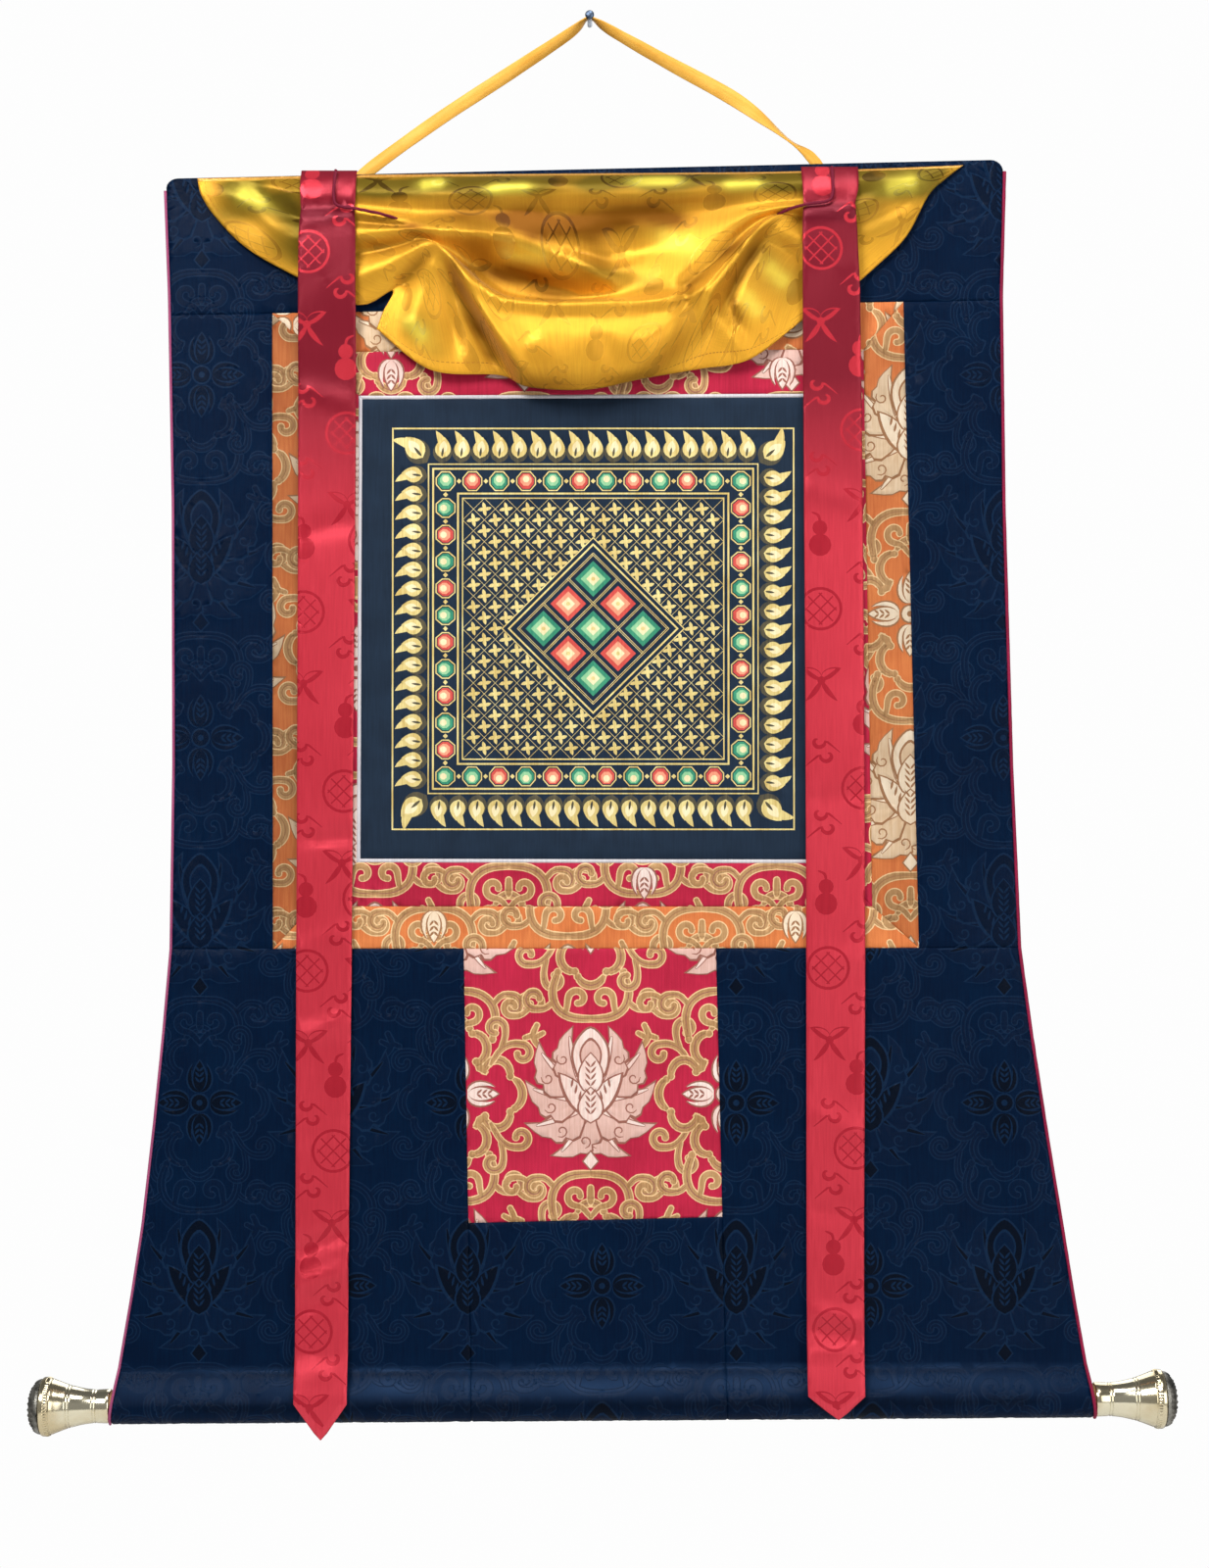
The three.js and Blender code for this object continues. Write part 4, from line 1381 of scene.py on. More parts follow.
def silk(name, colour, second, turn, tints=None, **more):
    """Satin: threads that shine across their length."""
    values = {"Roughness": 0.36, "Metallic": 0.35, "Anisotropic": 0.5, "Anisotropic Rotation": turn}
    values.update({"Sheen Weight": 0.05, "Specular IOR Level": 0.25})
    values.update(more)
    return cloth(name, colour, second, thread=0.45, bump=0.14, mottle=14, tints=tints, **values)


def metal(name, colour, second, scale, rough, bump):
    """Worked metal with tarnish and fine scratches."""
    material, tree, shader = new_material(name, {"Metallic": 1.0, "Roughness": rough})
    place = put(tree, "ShaderNodeTexCoord").outputs["Object"]
    tarnish = speckle(tree, place, scale, detail=6.0)
    base = blended(tree, ramped(tree, tarnish, *TARNISH_RANGE), colour, second)
    limits = {"To Min": rough * WORN["least"], "To Max": rough * WORN["most"]}
    worn = put(tree, "ShaderNodeMapRange", limits, {"Value": tarnish})
    tree.links.new(worn.outputs["Result"], shader.inputs["Roughness"])
    scratches = speckle(tree, place, scale * SCRATCH_SHARE, detail=3.0)
    surfaced(tree, shader, base, scratches, bump, METAL_RELIEF)
    return material


def wood(name):
    """A plain turned rod with grain along X."""
    material, tree, shader = new_material(name, {"Roughness": 0.65, "Specular IOR Level": 0.3})
    place = put(tree, "ShaderNodeTexCoord").outputs["Object"]
    grain = speckle(tree, stretched(tree, place, GRAIN_STRETCH), scale=1.0, detail=5.0)
    base = blended(tree, ramped(tree, grain, *GRAIN_RANGE), rgb(176, 132, 84), rgb(112, 76, 44))
    surfaced(tree, shader, base, grain, strength=0.2, distance=METAL_RELIEF)
    return material


CREAM_PETALS = (rgb(244, 226, 200), rgb(232, 206, 174), rgb(212, 178, 140), rgb(160, 114, 78))
ROSE_PETALS = (rgb(242, 226, 216), rgb(228, 190, 178), rgb(210, 166, 152), rgb(150, 96, 82))


def brocade_threads(name, ground, second, petal_edge, petal, petal_dark, vein):
    """The materials of a patterned brocade on one ground colour."""
    gilt = dict(Metallic=0.2, Roughness=0.5)
    return dict(
        ground=cloth(name + "_ground", ground, second, thread=0.5, diagonal=True),
        outline=cloth(name + "_outline", rgb(240, 204, 154), rgb(222, 182, 130), thread=0.7, Metallic=0.15),
        band=cloth(name + "_band", rgb(196, 154, 106), rgb(166, 122, 78), thread=0.9, **gilt),
        petal_edge=cloth(name + "_petal_edge", petal_edge, petal, thread=0.8),
        petal=cloth(name + "_petal", petal, petal_dark, thread=0.8),
        vein=cloth(name + "_vein", vein, vein, thread=0.8),
        back=cloth(name + "_back", second, ground, thread=0.8, bump=0.4),
    )


def navy_threads(name, rib):
    """Navy damask: the same pattern in threads of one colour that catch the light differently."""
    matt = {"Sheen Weight": 0.0, "Specular IOR Level": 0.04, "Roughness": 0.44}
    satin = {"Sheen Weight": 0.0, "Specular IOR Level": 0.06, "Roughness": 0.36}
    # The lit tint paints the sleeve's highlight bands
    lit = dict(lit=rgb(30, 54, 86))
    ground = cloth(name + "_ground", rgb(1, 24, 51), rgb(1, 18, 43), thread=0.55, tints=lit, **matt)
    line = cloth(name + "_line", rgb(12, 36, 64), rgb(8, 30, 56), thread=0.6, **satin)
    figure = cloth(name + "_figure", rgb(1, 23, 50), rgb(1, 18, 43), thread=0.6, tints=lit, **satin)
    dark = cloth(name + "_rib", rib, rib, thread=0.6, **satin)
    back = cloth(name + "_back", rgb(14, 30, 54), rgb(10, 24, 44), thread=0.9, bump=0.4, **matt)
    return dict(ground=ground, outline=line, band=figure, petal_edge=dark, petal=figure, vein=line, back=back)


def painted_threads():
    """Mineral paint and gold on primed cotton."""
    paint = dict(thread=0.7, bump=0.18, mottle=60)
    gilt = dict(Metallic=0.3, Roughness=0.45)
    return dict(
        ground=cloth("paint_night", rgb(26, 43, 62), rgb(20, 35, 52), Roughness=0.75, **paint),
        gold=cloth("paint_gold", rgb(236, 220, 152), rgb(206, 178, 104), **gilt, **paint),
        cream=cloth("paint_cream", rgb(244, 232, 190), rgb(230, 210, 160), **paint),
        umber=cloth("paint_umber", rgb(92, 84, 62), rgb(60, 60, 54), **paint),
        coral=cloth("paint_coral", rgb(214, 88, 78), rgb(190, 66, 62), **paint),
        coral_light=cloth("paint_coral_light", rgb(236, 166, 132), rgb(226, 142, 112), **paint),
        jade=cloth("paint_jade", rgb(62, 150, 116), rgb(44, 124, 98), **paint),
        jade_light=cloth("paint_jade_light", rgb(156, 206, 158), rgb(130, 188, 140), **paint),
        back=cloth("canvas_back", rgb(206, 196, 176), rgb(188, 176, 154), thread=0.8, bump=0.5),
    )


QUARTER_TURN = 0.25
FIGURE_GLOSS = dict(Roughness=0.26)


def gold_silk_threads():
    """Gold satin with painted light and shade: an olive sheen where it turns up to the light, brown shade in its
    hollows and highlights on its crests.
    """
    soft = {"Specular IOR Level": 0.08}
    # Tints for the painted olive sheen, the painted brown shade and the painted highlights
    ground_tints = dict(lime=rgb(112, 92, 24), painted_shade_brown=rgb(120, 72, 8), gleam=rgb(240, 222, 84))
    figure_tints = dict(lime=rgb(74, 54, 8), painted_shade_brown=rgb(86, 48, 4), gleam=rgb(250, 232, 104))
    shine = dict(**FIGURE_GLOSS, **soft)
    ground = silk("gold_ground", rgb(234, 174, 52), rgb(218, 154, 44), 0.0, ground_tints, **soft)
    figure = silk("gold_figure", rgb(222, 162, 50), rgb(206, 146, 42), QUARTER_TURN, figure_tints, **shine)
    fold = silk("gold_fold", rgb(230, 174, 88), rgb(206, 146, 64), 0.0)
    vein = cloth("gold_stitch", rgb(176, 116, 30), rgb(150, 94, 24))
    back = silk("gold_back", rgb(206, 146, 42), rgb(184, 124, 32), 0.0)
    return dict(ground=ground, figure=figure, fold=fold, vein=vein, back=back)


def crimson_silk_threads():
    """Crimson satin: bright with dark figures, and the other way round where it is shaded."""
    dark = dict(shaded=rgb(112, 12, 34))
    light = dict(shaded=rgb(206, 50, 64))
    ground = silk("crimson_ground", rgb(210, 56, 72), rgb(196, 46, 62), 0.0, dark)
    figure = silk("crimson_figure", rgb(184, 34, 52), rgb(172, 28, 46), QUARTER_TURN, light, **FIGURE_GLOSS)
    fold = silk("crimson_fold", rgb(216, 62, 78), rgb(200, 50, 66), 0.0)
    vein = cloth("crimson_stitch", rgb(140, 20, 40), rgb(120, 16, 34))
    back = silk("crimson_back", rgb(176, 40, 58), rgb(156, 32, 50), 0.0)
    return dict(ground=ground, figure=figure, fold=fold, vein=vein, back=back)


# The painted design: a square court of leaf and jewel bands round a lattice of diamonds
PAINT = dict(leaf_outer=129, leaf_inner=106, jewel_outer=103, jewel_inner=87, court=84, diamond=50)
# Each row: colour, distance of its base from the petal's base, length, width and bend
PETAL_STEPS = [
    ("umber", 0, 18, 13, 0),
    ("gold", 3.5, 14.5, 10.6, 0),
    ("gold", 8, 15, 5.6, 26),
    ("cream", 7, 8.5, 5.4, 0),
    ("umber", 4.5, 6.5, 1.6, 0),
]
PETAL_COUNT = 17
PETAL_ROW = dict(ends=8, above=0.5, angle=-8, size=0.95)
CORNER_PETAL = dict(out=1, angle=40, size=1.2)
JEWEL_CORNERS = [
    (-0.45, -1), (0.45, -1), (1, -0.35), (1, 0.35), (0.45, 1), (-0.45, 1), (-1, 0.35), (-1, -0.35),
]
JEWEL_COUNT = 11
JEWEL_HALF = 6.4
JEWEL_RISE = dict(share=0.45, below=0.78)
BEAD = 1.6
LATTICE = dict(step=14, reach=11, line=0.5)
HEART_STEP = 16
HEART_BAND = dict(half=24, gold=2.6, gap=1.2)


def box(half):
    return [(-half, -half), (half, -half), (half, half), (-half, half)]


def diamond(x, y, reach):
    return [(x - reach, y), (x, y - reach), (x + reach, y), (x, y + reach)]


def square_line(half, width=0.8):
    return [("gold", box(half + width / 2)), ("ground", box(half - width / 2))]


def turned_shapes(shapes, turn):
    return [(kind, quarter_turned(points, turn)) for kind, points in shapes]


def crossing(middle, slope, half):
    """The ends of a sloping line about a middle."""
    return [(middle - half, slope * (-middle - half)), (middle + half, slope * (-middle + half))]


def painted_petal(x, y, angle, size):
    """A pointed petal, dark at its base, with a bent tip and a vein."""
    turn = math.radians(angle)
    shapes = []
    for kind, start, length, width, bend in PETAL_STEPS:
        base = (x - math.sin(turn) * start * size, y + math.cos(turn) * start * size)
        shapes.append((kind, leaf(*base, angle, length * size, width * size, bend)))
    return shapes


def leaf_band():
    """One side of the outer band, from its corner petal."""
    reach = PAINT["leaf_inner"]
    corner = reach + CORNER_PETAL["out"]
    end = reach - PETAL_ROW["ends"]
    shapes = painted_petal(-corner, corner, CORNER_PETAL["angle"], CORNER_PETAL["size"])
    for i in range(PETAL_COUNT):
        x = mix(-end, end, i / (PETAL_COUNT - 1))
        shapes += painted_petal(x, reach + PETAL_ROW["above"], PETAL_ROW["angle"], PETAL_ROW["size"])
    return shapes


def jewel(x, y, half, colour):
    """A cut stone in a gold setting, lighter towards its upper middle."""
    shapes = []
    steps = (("gold", 1.0), ("ground", 0.88), (colour, 0.78), (colour + "_light", 0.56), ("cream", 0.32))
    for kind, share in steps:
        size = half * share
        rise = JEWEL_RISE["share"] * half * clamp(JEWEL_RISE["below"] - share)
        shapes.append((kind, [(x + size * a, y + rise + size * b) for a, b in JEWEL_CORNERS]))
    return shapes


def jewel_band():
    """One side of the inner band: stones with beads between them."""
    shapes = []
    middle = (PAINT["jewel_outer"] + PAINT["jewel_inner"]) / 2
    for i in range(JEWEL_COUNT):
        x = mix(-middle, middle, i / JEWEL_COUNT)
        shapes += jewel(x, middle, JEWEL_HALF, "coral" if i % 2 else "jade")
        bead = mix(-middle, middle, (i + 0.5) / JEWEL_COUNT)
        shapes.append(("gold", diamond(bead, middle, BEAD)))
    return shapes


def sprig(x, y):
    shapes = [("gold", circle(x, y, 0.9, 8))]
    for angle in (0, 90, 180, 270):
        shapes.append(("gold", leaf(x, y, angle, 4.6, 2.4, 12, count=5)))
    return shapes


def lattice():
    """Crossing gold lines over the court, with a sprig in each opening."""
    step = LATTICE["step"]
    court = PAINT["court"]
    places = range(-LATTICE["reach"], LATTICE["reach"] + 1)
    shapes = []
    for i in places:
        for slope in (-1, 1):
            low = max(-court, -court + i * step)
            high = min(court, court + i * step)
            ends = [(low, slope * (low - i * step)), (high, slope * (high - i * step))]
            shapes.append(("gold", stroke(ends, [LATTICE["line"]] * 2)))
    for i in places:
        for j in places:
            if (i + j) % 2:
                shapes += sprig(i * step / 2, j * step / 2)
    return shapes


def heart():
    """The middle: a large diamond of nine jewels between woven gold bands."""
    reach = PAINT["diamond"]
    shapes = []
    for kind, more in (("gold", 9), ("ground", 8), ("gold", 5), ("ground", 3.4)):
        shapes.append((kind, diamond(0, 0, reach + more)))
    for i in (-1.5, -0.5, 0.5, 1.5):
        for slope in (-1, 1):
            ends = crossing(i * HEART_STEP, slope, HEART_BAND["half"])
            shapes.append(("gold", stroke(ends, [HEART_BAND["gold"]] * 2)))
            shapes.append(("ground", stroke(ends, [HEART_BAND["gap"]] * 2)))
    for i in (-1, 0, 1):
        for j in (-1, 0, 1):
            x = (i - j) * HEART_STEP
            y = (i + j) * HEART_STEP
            colour = "coral" if (i + j) % 2 else "jade"
            for kind, size in ((colour, 11.5), (colour + "_light", 8), ("cream", 4.4)):
                shapes.append((kind, diamond(x, y, size)))
            shapes.append(("gold", circle(x, y, 1.3, 10)))
    return shapes


def painted_court():
    """The whole painted design, each band with its gold lines."""
    shapes = square_line(PAINT["leaf_outer"], 1.0)
    for turn in QUARTERS:
        shapes += turned_shapes(leaf_band(), turn)
    shapes += square_line(PAINT["leaf_inner"]) + square_line(PAINT["jewel_outer"], 1.2)
    for turn in QUARTERS:
        shapes += turned_shapes(jewel_band(), turn)
    shapes += square_line(PAINT["jewel_inner"], 1.2) + square_line(PAINT["court"])
    return shapes + lattice() + heart()


# Figures of the satin damask
def gourd():
    shapes = [("figure", circle(0, -5, 7.2)), ("figure", circle(0, 6, 4.8))]
    return shapes + [("figure", stroke(smooth([(0, 10), (1, 14), (5, 16)], 6), [1.6, 1.8, 1]))]


def roundel():
    """A ring with a diamond lattice in it."""
    shapes = [("figure", circle(0, 0, 14, 26)), ("ground", circle(0, 0, 12.2, 26))]
    for i in (-1, 0, 1):
        half = 11 - 3.5 * abs(i)
        for slope in (-1, 1):
            shapes.append(("figure", stroke(crossing(i * 4.6, slope, half * 0.7), [1.7, 1.7])))
    return shapes


def wisps():
    """Two curling wisps, one above the other."""
    shapes = []
    for flip, dy in ((1, 4), (-1, -5)):
        start = 180 if flip > 0 else 0
        curl = spiral(flip * 3, dy + 3, 5, start, flip, 0.7, 10)
        tail = [(flip * -11, dy - 4), (flip * -5, dy + 1)] + curl
        shapes.append(("figure", stroke(smooth(tail, 16), [0.8, 2.2, 2.6, 2.2, 1])))
    return shapes


def tassel():
    """A tied bundle with two loops and ends."""
    shapes = []
    for side in (-1, 1):
        shapes.append(("figure", leaf(0, 0, 38 * side, 15, 6.4, 20 * side)))
        shapes.append(("ground", leaf(0, 1.6, 38 * side, 11, 3, 20 * side)))
        shapes.append(("figure", leaf(0, 0, 156 * side, 17, 3.4, -14 * side)))
    return shapes + [("figure", circle(0, 0, 2.6))]


DAMASK = dict(row=23, column=40, sway=4, top=9)


def damask(outline, shift):
    """Figures in staggered rows over a satin cloth."""
    low_x, low_z, high_x, high_z = box_of(outline)
    figures = (gourd, wisps, roundel, wisps, tassel)
    shapes = []
    for j in range(int((high_z - low_z) / DAMASK["row"]) + 2):
        for i in range(int((high_x - low_x) / DAMASK["column"]) + 2):
            figure = figures[(i * 2 + j) % len(figures)]
            x = low_x + shift + DAMASK["column"] * (i + j % 2 / 2) + DAMASK["sway"] * math.sin(3 * j + i)
            z = high_z - DAMASK["top"] - DAMASK["row"] * j
            shapes += moved(figure(), x, z, 1 if (i + j) % 2 else -1)
    return touching(shapes, outline)


def stitches(line, step, length, width):
    """Short dashes along a line of points."""
    shapes = []
    total = sum(math.dist(a, b) for a, b in zip(line, line[1:]))
    count = int(total / step)
    for i in range(count):
        here = along_line(line, total * i / count)
        there = along_line(line, total * i / count + length)
        shapes.append(("vein", stroke([here, there], [width, width])))
    return shapes


def along_line(line, distance):
    for a, b in zip(line, line[1:]):
        piece = math.dist(a, b)
        if distance <= piece:
            return (mix(a[0], b[0], distance / piece), mix(a[1], b[1], distance / piece))
        distance -= piece
    return line[-1]


# Pieces of cloth
def declared(piece, node, slot, outline, rests_on, held="hung", with_pieces=()):
    """Says what the sheet stands for, and the flat size that it was cut to."""
    stands_for(piece, node, slot)
    low_x, low_z, high_x, high_z = box_of(outline)
    flat = ((high_x - low_x) * MM, (high_z - low_z) * MM)
    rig.sheet(piece, flat, held, rests_on, abs(area_of(outline)) * MM * MM, with_pieces)


def strips(outer, inner):
    """The four mitred strips between two fields."""
    return dict(
        top=[outer[0], outer[1], inner[1], inner[0]],
        bottom=[inner[3], inner[2], outer[2], outer[3]],
        left=[outer[0], inner[0], inner[3], outer[3]],
        right=[inner[1], outer[1], outer[2], inner[2]],
    )


BORDER_PITCH = 6
EDGING_PITCH = 3
CANVAS_PITCH = 6
DOOR_PITCH = 5
NAVY_PITCH = 7
NAVY_RELIEF = 0.4
SILK_RELIEF = 0.3
BORDERS = table(
    "name side lotus buds",
    ("orange_border", "top", (-112, -196), []),
    ("orange_border", "bottom", (-14, -637), [(-100, -573), (132, -573)]),
    ("orange_border", "left", (-152, -287), []),
    ("orange_border", "right", (206, -265), []),
    ("red_border", "top", (-42, -190), [(-128, -218), (124, -217)]),
    ("red_border", "bottom", (34, -610), [(35, -545)]),
    ("red_border", "left", (-150, -300), []),
    ("red_border", "right", (127, -330), []),
)
# Painted shade on the side strips and on the lower red strip, from 0 to 1
BORDER_PAINTED_SHADE = dict(orange_border_left=0.95, orange_border_right=0.5, red_border_bottom=0.15)
BUD_HANGS = 180
FIELD = dict(x=2.5, z=-391, half_width=147, half_height=146.5, edge=1.5)
UNEVEN_EDGE = dict(swing=0.35, scale=0.13, layer=4)
PICTURE_MIDDLE = (2.2, -391.5)
DOOR_LOTUS = (0.6, -690)


EVEN_TONE = dict(swing=0.5, scale=0.02, layer=2)


def even_tone(strength):
    """A painted shade of one strength all over, a little uneven."""
    scale = EVEN_TONE["scale"]

    def tone(x, z):
        place = Vector((x * scale, z * scale, EVEN_TONE["layer"]))
        return clamp(strength * (1 + EVEN_TONE["swing"] * noise.noise(place)))
    return tone


def make_borders(threads):
    fields = dict(orange_border=(ORANGE_OUTER, RED_OUTER), red_border=(RED_OUTER, RED_INNER))
    carriers = dict(orange_border="navy_top", red_border="painting")
    for row in BORDERS:
        name = row["name"]
        node = name + "_" + row["side"]
        corners = inset(strips(*fields[name])[row["side"]], SEAM)
        outline = sampled(corners[::-1], BORDER_PITCH)
        slot = name.replace("border", "brocade")
        shapes = brocade(outline, row["lotus"])
        for x, z in row["buds"]:
            shapes += moved(bud(BUD_HANGS), x, z)
        tones = dict(dim=even_tone(BORDER_PAINTED_SHADE.get(node, 0.0)))
        piece = woven(node + "_cloth", outline, shapes, hung, BORDER_PITCH, threads[slot], tones)
        declared(piece, node, slot, outline, [carriers[name]])


def make_edging(material):
    """White strips with an uneven inner edge."""
    pieces = []
    for side, corners in strips(RED_INNER, inset(RED_INNER, EDGING)).items():
        outline = []
        for x, z in sampled(inset(corners, SEAM)[::-1], EDGING_PITCH):
            inward = Vector((FIELD["x"] - x, FIELD["z"] - z))
            beyond = max(abs(inward.x) - FIELD["half_width"], abs(inward.y) - FIELD["half_height"])
            inward.normalize()
            place = Vector((x * UNEVEN_EDGE["scale"], z * UNEVEN_EDGE["scale"], UNEVEN_EDGE["layer"]))
            uneven = UNEVEN_EDGE["swing"] * noise.noise(place) * (beyond < FIELD["edge"])
            outline.append((x + inward.x * uneven, z + inward.y * uneven))
        node = "white_edging_" + side
        piece = woven(node + "_cloth", outline, [], hung, EDGING_PITCH, dict(ground=material, back=material))
        pieces.append(stands_for(piece, node, "white_edging"))
    return pieces


def make_painting(threads, edging):
    outline = sampled(inset(RED_INNER, EDGING + SEAM)[::-1], CANVAS_PITCH)
    shapes = moved(painted_court(), *PICTURE_MIDDLE)
    piece = woven("painting_canvas", outline, shapes, hung, CANVAS_PITCH, threads)
    declared(piece, "painting", "painted_canvas", outline, ["red_border_top"], "stretched", edging)


def make_door(threads):
    outline = sampled(inset(DOOR, SEAM)[::-1], BORDER_PITCH)
    shapes = brocade(outline, DOOR_LOTUS)
    piece = woven("door_panel_cloth", outline, shapes, hung, DOOR_PITCH, threads["red_brocade"])
    declared(piece, "door_panel", "red_brocade", outline, ["navy_lower_left", "navy_lower_right"])


NAVY_LOTUS = (-250.1, -812.7)
CORNER_STEPS = 6
HEAD_INSET = 1.2
SIDE_STEPS = 60
FOOT_STEPS = 70
# Heights near the upper seam, the lower seam, the sleeve's stitching and the foot
UPPER_SEAM_Z = -185
LOWER_SEAM_Z = -597
STITCHING_Z = -868
FOOT_Z = -905
SLEEVE_ROWS = dict(left=-328, right=336, apart=6, rows=17, row_apart=2.1, stagger=3)
# Bands painted on the sleeve: highlights on its upper part and along its stitching, shade across its middle and just
# below the stitching. Each row: strength, half width, then the points of its line
SLEEVE_LIT = [
    (0.8, 6, (-320, -877), (-100, -876), (120, -873.5), (330, -872)),
    (0.6, 1.6, (-320, -867.6), (330, -863)),
]
SLEEVE_PAINTED_SHADE = [
    (1.8, 3.4, (-320, -888.6), (-60, -887.4), (140, -885), (330, -884)),
    (0.6, 1.4, (-320, -870), (330, -865.6)),
]


def between(start, end):
    """Points from a start to an end, without these two."""
    return sampled([start, end], NAVY_PITCH)[1:round(math.dist(start, end) / NAVY_PITCH)]


def head_outline():
    left = edge_x("left", TOP_Z)
    right = edge_x("right", TOP_Z)
    radius = HEM["corner"]
    points = [(left + HEAD_INSET, upper_seam(left) + SEAM), (right - HEAD_INSET, upper_seam(right) + SEAM)]
    for middle_x, start in ((right - radius, 0), (left + radius, 90)):
        for i in range(CORNER_STEPS + 1):
            turn = math.radians(start + 90 * i / CORNER_STEPS)
            z = top_z(middle_x) - radius + radius * math.sin(turn)
            points.append((middle_x + radius * math.cos(turn), z))
    points = sampled(points, NAVY_PITCH)
    return [(min(max(x, edge_x("left", z)), edge_x("right", z)), z) for x, z in points]


def side_outline(side):
    upper = ORANGE_OUTER[0 if side == "left" else 1]
    lower = ORANGE_OUTER[3 if side == "left" else 2]
    hand = -1 if side == "left" else 1
    start = upper_seam(edge_x(side, UPPER_SEAM_Z))
    end = lower_seam(edge_x(side, LOWER_SEAM_Z))
    outer = []
    inner = []
    for i in range(SIDE_STEPS + 1):
        share = i / SIDE_STEPS
        z = mix(start, end, share) + SEAM * ((i == SIDE_STEPS) - (i == 0))
        outer.append((edge_x(side, z), z))
        x = mix(upper[0], lower[0], share) + hand * SEAM
        inner.append((x, mix(upper[1] - SEAM, lower[1] + SEAM, share)))
    return between(inner[0], outer[0]) + outer + between(outer[-1], inner[-1]) + inner[::-1]


def foot_outline(left_at, right_at, upper_at):
    """The unrolled cut of a foot panel, from its upper seam to its free end behind the rod."""
    _, flank, arc_length = sleeve_lengths()
    length = 2 * flank + arc_length - SLEEVE["open_end"]
    sides = []
    for at in (left_at, right_at):
        start = upper_at(at(upper_at(0))) - SEAM
        end = stitch_z(at(STITCHING_Z)) - length
        points = []
        for i in range(FOOT_STEPS + 1):
            v = mix(start, end, i / FOOT_STEPS)
            _, z, _ = foot_path(at(max(v, FOOT_Z)), v)
            points.append((at(z), v))
        sides.append(points)
    left, right = sides
    return left + between(left[-1], right[-1]) + right[::-1] + between(right[0], left[0])


def sleeve_points():
    """Close rows of points on the front of the sleeve, for the narrow bands of painted light and shade on it."""
    points = []
    for x in range(SLEEVE_ROWS["left"], SLEEVE_ROWS["right"], SLEEVE_ROWS["apart"]):
        for k in range(1, SLEEVE_ROWS["rows"] + 1):
            aside = SLEEVE_ROWS["stagger"] * (k % 2)
            points.append(Vector((x + aside, stitch_z(x) - SLEEVE_ROWS["row_apart"] * k)))
    return points


def outer_edge(side):
    """The sheet's side edge, as a function of height."""
    def at(z):
        return edge_x(side, z)
    return at


def door_edge(side, off):
    """A line beside the door's side, as a function of height."""
    ends = (DOOR[0], DOOR[3]) if side == "left" else (DOOR[1], DOOR[2])

    def at(z):
        return line_at(*ends, z, 1) + off
    return at


def door_foot(x):
    return line_at(DOOR[3], DOOR[2], x, 0)


def make_upper_navy(threads):
    panels = [
        ("navy_top", head_outline(), hung_head, ["hanging_ribbon"]),
        ("navy_left", side_outline("left"), hung, ["navy_top"]),
        ("navy_right", side_outline("right"), hung, ["navy_top"]),
    ]
    for node, outline, place, rests_on in panels:
        make_navy_panel(node, outline, place, rests_on, threads)


def make_foot_navy(threads):
    """The foot panels, which turn round the rod as its sleeve."""
    panels = [
        ("navy_lower_left", outer_edge("left"), door_edge("left", -SEAM), lower_seam, "navy_left"),
        ("navy_lower_centre", door_edge("left", SEAM), door_edge("right", -SEAM), door_foot, "door_panel"),
        ("navy_lower_right", door_edge("right", SEAM), outer_edge("right"), lower_seam, "navy_right"),
    ]
    for node, left_at, right_at, upper_at, carrier in panels:
        outline = foot_outline(left_at, right_at, upper_at)
        make_navy_panel(node, outline, hung_foot, [carrier, "rod"], threads, sleeve_points())


def make_navy_panel(node, outline, place, rests_on, threads, more=()):
    tones = dict(lit=soft_tone(SLEEVE_LIT), dim=soft_tone(SLEEVE_PAINTED_SHADE))
    shapes = brocade(outline, NAVY_LOTUS)
    name = node + "_cloth"
    piece = woven(name, outline, shapes, place, NAVY_PITCH, threads, tones, NAVY_RELIEF, more)
    declared(piece, node, "navy_damask", outline, rests_on)


SOFT_TONE = dict(level=0.85, swing=0.7, across=0.035, up=0.07, layer=1)


def soft_tone(rows):
    """A tone from 0 to 1 along soft lines, a little uneven, for painted light and shade."""
    def tone(x, z):
        place = Vector((x * SOFT_TONE["across"], z * SOFT_TONE["up"], SOFT_TONE["layer"]))
        uneven = SOFT_TONE["level"] + SOFT_TONE["swing"] * noise.noise(place)
        return clamp(crease_height(rows, x, z) * uneven)
    return tone


VEIL_SEWING = dict(edge_pitch=4, hem=6, fold=5, fold_over=0.5, seam=2.6, seam_ends=2, shift=10)
# Stitches: distance apart, length and width
HEM_STITCHES = (4.2, 2.4, 0.7)
SEAM_STITCHES = (3.6, 2.2, 0.9)


def veil_sewing(width, length):
    """The folded seam edge, and the stitches along it and along the hem."""
    low = -VEIL_SEWING["fold"]
    high = VEIL_SEWING["fold_over"]
    fold = [("fold", [(0, low), (width, low), (width, high), (0, high)])]
    hem = VEIL_SEWING["hem"]
    hem_line = [(hem, -hem), (hem, hem - length), (width - hem, hem - length), (width - hem, -hem)]
    ends = VEIL_SEWING["seam_ends"]
    seam_line = [(ends, -VEIL_SEWING["seam"]), (width - ends, -VEIL_SEWING["seam"])]
    return fold + stitches(hem_line, *HEM_STITCHES) + stitches(seam_line, *SEAM_STITCHES)


